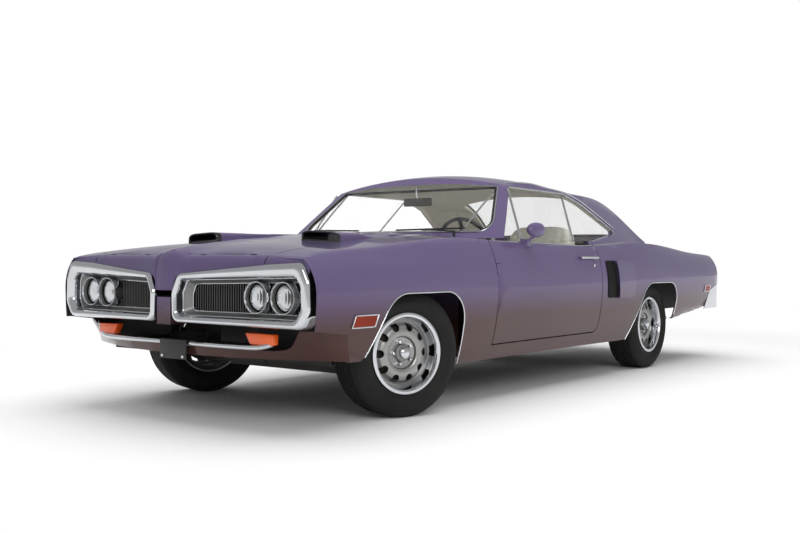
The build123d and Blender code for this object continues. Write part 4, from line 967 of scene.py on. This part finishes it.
# a black plate laid on the flank over the side scoop's mouth: painted shade of its opening
def sideMouthShade(node, side):
    corners, rows = [Vector(corner) for corner in mouthSet["corners"]], []
    near, far = mouthSet["ahead"], mouthSet["behind"]
    for high in steppedFrom(0.0, 1.0, 16):
        start, end = corners[0].lerp(corners[3], high), corners[1].lerp(corners[2], high)
        ahead, behind = onPanel(node, near, start.y, side), onPanel(node, far, start.y, side)
        tuck = 0.018 * max(0.0, 1 - min(high, 1 - high) / 0.1) ** 2
        rows.append([(ahead.x + (behind.x - ahead.x) * (y - near) / (far - near) + 0.0025 * side, y, start.y)
                     for y in steppedFrom(start.x + tuck, end.x, 8)])
    return thickened(skinOver(rows)[0], 0.002)


grown = grownFrom(roundedOutline(windowOutline, windowRadii, 6), Vector(windowLook["middle"]), 0.008)
grown = [point for point in grown if point.y > windowLook["low"]]
for side, word in bothSides:
    frameLine = smoothed(alongPanel("roof", grown, side, 0.001), 1)
    trimLine(f"windowFrame_{word}", frameLine, windowLook["frame"])
    drip = smoothed(alongPanel("roof", denser(dripLine), side, 0.004), 3)
    trimLine(f"dripRail_{word}", drip, windowLook["drip"])
    door, quarter = f"door_{word}", f"quarter_{word}"
    for name, (radius, *ends) in postSet.items():
        trimLine(f"{name}_{word}", [Vector((x * side, y, z)) for x, y, z in ends], radius, body=door)
    for node, body, start, end in ((door, door, -0.8, 0.272), (quarter, "body", 0.296, 0.78)):
        strip = [onTop(node, 0.872 * side, y, 0.003) for y in steppedFrom(start, end, 30)]
        strip = [point for point in strip if point and point.z > 0.86]
        trimLine(f"beltStrip_{node}", smoothed(strip, 1), windowLook["belt"], body=body)
    lockPlace = Matrix.Translation(onPanel(door, 0.19, 0.768, side)) @ quarterTurn("Y", side)
    makePiece(f"doorLock_{word}", placed(spun(lockProfile, 32, False), lockPlace), chrome, door, 40)
    makePiece(f"sideMouth_{word}", sideMouthShade(quarter, side), lampBlack, sharpAngle=40)
print("trims")

mirrorShape = {"middle": (0.952, -0.606, 0.979), "half": (0.04, 0.094, 0.044), "cut": 0.044,
               "glass": (0.024, 1, 0.037, 1)}
head = bmesh.new()
bmesh.ops.create_uvsphere(head, u_segments=48, v_segments=24, radius=1.0)
for vert in head.verts:
    x, y, z = Vector([value * reach for value, reach in zip(vert.co, mirrorShape["half"])])
    vert.co = Vector((x, min(y, mirrorShape["cut"]), z)) + Vector(mirrorShape["middle"])
makePiece("mirrorHead", faceOut(head), paint, "door_left", 40)
glassFace = spun([(0.0, 0.0), (1.0, 0.0), (1.0, 0.0015), (0.0, 0.0015)], 48, False)
glassPlace = Matrix.Translation(Vector(mirrorShape["middle"]) + Vector((0, mirrorShape["cut"] + 0.002, 0)))
glassFace = placed(glassFace, glassPlace @ Matrix.Diagonal(mirrorShape["glass"]) @ quarterTurn("X"))
makePiece("mirrorGlass", glassFace, chrome, "door_left", 40)

# bright trim and black seal round the windshield and the rear window
glassTrim = {"seal": 0.0085, "trim": 0.0055, "beyond": 0.01, "lift": 0.003}
for node, lean in (("windshield", -1), ("rear_window", 1)):
    chains = edgeChains(node, lambda middle: True,
                        lambda face, middle: face.normal.y * lean > 0.05 and face.normal.z > 0.1)
    line = thinned(max(reversed(chains), key=len))
    trimLine(node + "Seal", line, glassTrim["seal"], True, sealRubber)
    core = sum(line, Vector()) / len(line)
    lift = Vector((0, 0, glassTrim["lift"]))
    grown = [point + lift for point in grownFrom(line, core, glassTrim["beyond"])]
    trimLine(node + "Trim", grown, glassTrim["trim"], True)

# per end: its panel, corners in length and height, and finish
markerLook = {
    "front": ("fender", [(-2.277, 0.486), (-2.115, 0.486), (-2.095, 0.542), (-2.257, 0.542)], markerOrange),
    "rear": ("quarter", [(2.167, 0.554), (2.295, 0.554), (2.303, 0.603), (2.175, 0.603)], lampRed)}
markerSet = {"lift": 0.005, "depth": 0.004, "frame": 0.0044, "frameLift": 0.004, "across": 8, "along": 12,
             "steps": 10}
signalLook = {"face": [(0.476, 0.456), (0.647, 0.453), (0.643, 0.402), (0.508, 0.402)], "front": -2.505,
              "inner": 0.466, "sweep": 0.06, "depth": 0.042, "bevel": 0.005}


# thin plate that follows a panel between four (y, z) corners
def panelPatch(node, corners, side):
    bm = bmesh.new()
    bmesh.ops.create_grid(bm, x_segments=markerSet["across"], y_segments=markerSet["along"], size=0.5)
    first, second, third, fourth = (Vector(corner) for corner in corners)
    for vert in bm.verts:
        u, v = vert.co.x + 0.5, vert.co.y + 0.5
        place = first.lerp(second, u).lerp(fourth.lerp(third, u), v)
        vert.co = onPanel(node, place.x, place.y, side, markerSet["lift"])
    return thickened(bm, markerSet["depth"], (side, 0, 0))


for side, word in bothSides:
    for name, (panel, corners, finish) in markerLook.items():
        node = f"{panel}_{word}"
        standsFor = ["marker_lamps"] if (side, name) == (1, "front") else ()
        makePiece(f"sideMarker_{name}_{word}", panelPatch(node, corners, side), finish, "body", 40, standsFor)
        shares = [step / markerSet["steps"] for step in range(markerSet["steps"])]
        ring = [Vector(here).lerp(Vector(ahead), share)
                for here, ahead in zip(corners, corners[1:] + corners[:1]) for share in shares]
        ring = alongPanel(node, ring, side, markerSet["frameLift"])
        trimLine(f"markerFrame_{name}_{word}", ring, markerSet["frame"], True)
    # turn signals hang below the loops
    signal, look = bmesh.new(), signalLook
    corners = [(x * side, look["front"] + (x - look["inner"]) * look["sweep"], z) for x, z in look["face"]]
    raised(signal, corners, (0, look["depth"], 0))
    bevelled(signal, signal.edges[:], look["bevel"], 2)
    makePiece(f"turnSignal_{word}", faceOut(signal), lampAmber, sharpAngle=25)

barLine = [(0.0, -2.512, 0.386), (0.3, -2.511, 0.386), (0.46, -2.508, 0.387), (0.57, -2.502, 0.389),
           (0.612, -2.492, 0.395), (0.634, -2.48, 0.408)]
boltProfile = [(0.0, 0.0), (0.0085, 0.0), (0.0085, 0.003), (0.006, 0.0055), (0.0, 0.0062)]
line = [Vector((-x, y, z)) for x, y, z in reversed(barLine[1:])] + [Vector(point) for point in barLine]
trimLine("lowerBar", smoothed(denser(line), 2), 0.0125, standsFor=["lower_bar"])
carrier, stays, bolts = bmesh.new(), bmesh.new(), bmesh.new()
boxAt(carrier, (-0.098, -2.534, 0.306), (0.098, -2.528, 0.4), 0.002)
boxAt(carrier, (-0.098, -2.534, 0.396), (0.098, -2.512, 0.402), 0.002)
makePiece("plateCarrier", carrier, blackTrim, sharpAngle=30)
for side in (1, -1):
    low, high = sorted((0.345 * side, 0.375 * side))
    boxAt(stays, (low, -2.506, 0.378), (high, -2.27, 0.394), 0.002)
    boltPlace = Matrix.Translation((0.076 * side, -2.534, 0.32)) @ quarterTurn("X")
    joinInto(bolts, spun(boltProfile, 24, False), boltPlace)
makePiece("barStays", stays, undercoat, sharpAngle=30)
makePiece("plateBolts", bolts, chrome, sharpAngle=30)
print("markers and lower bar")


# stuffed form with sewn channels down its front: a rounded box whose faces swell
def cushionShape(middle, size, tilt, channels, crown=5.0):
    bm = bmesh.new()
    bmesh.ops.create_cube(bm, size=2)
    bmesh.ops.subdivide_edges(bm, edges=bm.edges[:], cuts=23, use_grid_fill=True)
    half = Vector(size) / 2
    thin = 1 if size[1] < size[2] else 2
    for vert in bm.verts:
        u, v, w = (abs(value) for value in vert.co)
        vert.co *= max(u, v, w) / (u ** crown + v ** crown + w ** crown) ** (1 / crown)
        wave = abs(sin(pi * channels * (vert.co.x + 1) / 2))
        sink = 0.01 * (1 - wave) ** 3 * max(0.0, 1 - abs(vert.co.x) ** 8)
        vert.co = Vector((vert.co.x * half.x, vert.co.y * half.y, vert.co.z * half.z))
        vert.co[thin] -= copysign(sink, vert.co[thin])
    return placed(faceOut(bm), Matrix.Translation(middle) @ Matrix.Rotation(radians(tilt), 4, "X"))


# columns: name, middle, size, tilt about the width, sewn channels
cushions = [
    ("frontCushionLeft", (0.431, 0.05, 0.405), (0.51, 0.52, 0.15), 4, 7),
    ("frontBackLeft", (0.431, 0.352, 0.735), (0.5, 0.135, 0.6), -12, 7),
    ("frontCushionRight", (-0.431, 0.05, 0.405), (0.51, 0.52, 0.15), 4, 7),
    ("frontBackRight", (-0.431, 0.352, 0.735), (0.5, 0.135, 0.6), -12, 7),
    ("rearCushion", (0.0, 0.83, 0.535), (1.15, 0.43, 0.13), 3, 15),
    ("rearBack", (0.0, 1.065, 0.71), (1.15, 0.12, 0.32), -14, 15),
]
for name, *shape in cushions:
    standsFor = ["seats"] if name == "frontCushionLeft" else ()
    pad = makePiece(name, cushionShape(*shape), paleVinyl, standsFor=standsFor)
plinths = bmesh.new()
for side in (1, -1):
    low, high = sorted((0.2 * side, 0.66 * side))
    boxAt(plinths, (low, -0.15, 0.27), (high, 0.29, 0.35), 0.01)
boxAt(plinths, (-0.56, 0.65, 0.478), (0.56, 1.02, 0.5), 0.004)
makePiece("seatPlinths", plinths, dashPlastic, sharpAngle=30)

mirror = bmesh.new()
boxAt(mirror, (-0.112, -0.5, 1.15), (0.112, -0.482, 1.204), 0.008)
makePiece("cabinMirror", mirror, dashPlastic, sharpAngle=30, slot="black_trim")
trimLine("cabinMirrorStem", [Vector((0, -0.494, 1.195)), Vector((0, -0.506, 1.24)), Vector((0, -0.5, 1.3))],
         0.006)
print("cabin")

stageLook = {"size": 60.0, "grey": 0.86, "fadeFrom": 3.4, "fadeTo": 6.4, "widthShare": 1.6}


# 1 on rays from the camera and through glass, and on reflected ones
def seenRays(nodes, glossy=True):
    rays = nodes.new("ShaderNodeLightPath").outputs
    total = rays["Is Camera Ray"]
    for name in ["Is Transmission Ray"] + (["Is Glossy Ray"] if glossy else []):
        total = addNode(nodes, "Math", {0: total, 1: rays[name]}, operation="MAXIMUM").outputs[0]
    return total


# pale floor that keeps the shadow near the car and turns plain white away from it
def makeFloor(look):
    bm = bmesh.new()
    bmesh.ops.create_grid(bm, x_segments=1, y_segments=1, size=look["size"])
    floor = linked("floor", meshFrom(bm, "floor"))
    material, nodes, shader, place = freshMaterial("paleFloor")
    grey = look["grey"]
    setInputs(shader, {"Roughness": 0.9, "Base Color": (grey, grey, grey, 1), "Specular IOR Level": 0.05})
    squeezed = addNode(nodes, "Mapping",
                       {"Vector": place, "Scale": (look["widthShare"], 1, 1)}).outputs["Vector"]
    distance = addNode(nodes, "VectorMath", {0: squeezed}, operation="LENGTH").outputs["Value"]
    fade = smoothRise(nodes, distance, look["fadeFrom"], look["fadeTo"])
    share = addNode(nodes, "Math", {0: fade, 1: seenRays(nodes)}, operation="MULTIPLY").outputs[0]
    white = nodes.new("ShaderNodeEmission").outputs["Emission"]
    mix = addNode(nodes, "MixShader", {"Fac": share, 1: shader.outputs["BSDF"], 2: white})
    setInputs(nodes["Material Output"], {"Surface": mix.outputs["Shader"]})
    floor.data.materials.append(material)


makeFloor(stageLook)


def softLight(name, place, target, size, watts, mirrored=True):
    lamp = bpy.data.lights.new(name, "AREA")
    lamp.shape = "RECTANGLE"
    lamp.size, lamp.size_y = size
    lamp.energy = watts
    thing = linked(name, lamp)
    thing.location = place
    thing.rotation_euler = (Vector(target) - Vector(place)).to_track_quat("-Z", "Y").to_euler()
    thing.visible_glossy = mirrored


softLight("overhead", (0, 0, 6.5), (0, 0, 0), (9, 7), 470, False)
softLight("keySide", (7.5, -6.0, 4.2), (0, 0, 0.6), (5, 3), 240)
softLight("farSide", (-7.0, 3.0, 4.0), (0, 0, 0.6), (5, 3), 150, False)

worldLook = {"lit": 0.5, "seen": 1.0, "horizon": 0.58, "mirrored": 0.4, "skyTop": 0.3}


# white to the eye and through glass, and a paler sky that darkens upwards in reflections
def makeWorld(look):
    world = bpy.data.worlds.new("studio")
    bpy.context.scene.world = world
    world.use_nodes = True
    nodes = world.node_tree.nodes
    place = nodes.new("ShaderNodeTexCoord").outputs["Generated"]
    height = addNode(nodes, "SeparateXYZ", {"Vector": place}).outputs["Z"]
    sky = addNode(nodes, "MapRange", {"Value": height, "From Min": 0.0, "From Max": look["skyTop"],
                                      "To Min": look["horizon"],
                                      "To Max": look["mirrored"]}).outputs["Result"]
    glossy = nodes.new("ShaderNodeLightPath").outputs["Is Glossy Ray"]
    lit = addNode(nodes, "Mix", {"Factor": glossy, "A": look["lit"], "B": sky}).outputs["Result"]
    seen = addNode(nodes, "Mix", {"Factor": seenRays(nodes, False), "A": lit,
                                  "B": look["seen"]}).outputs["Result"]
    setInputs(nodes["Background"], {"Color": (1, 1, 1, 1), "Strength": seen})


makeWorld(worldLook)
bpy.context.scene.view_settings.view_transform = "Standard"

print("scene ready")
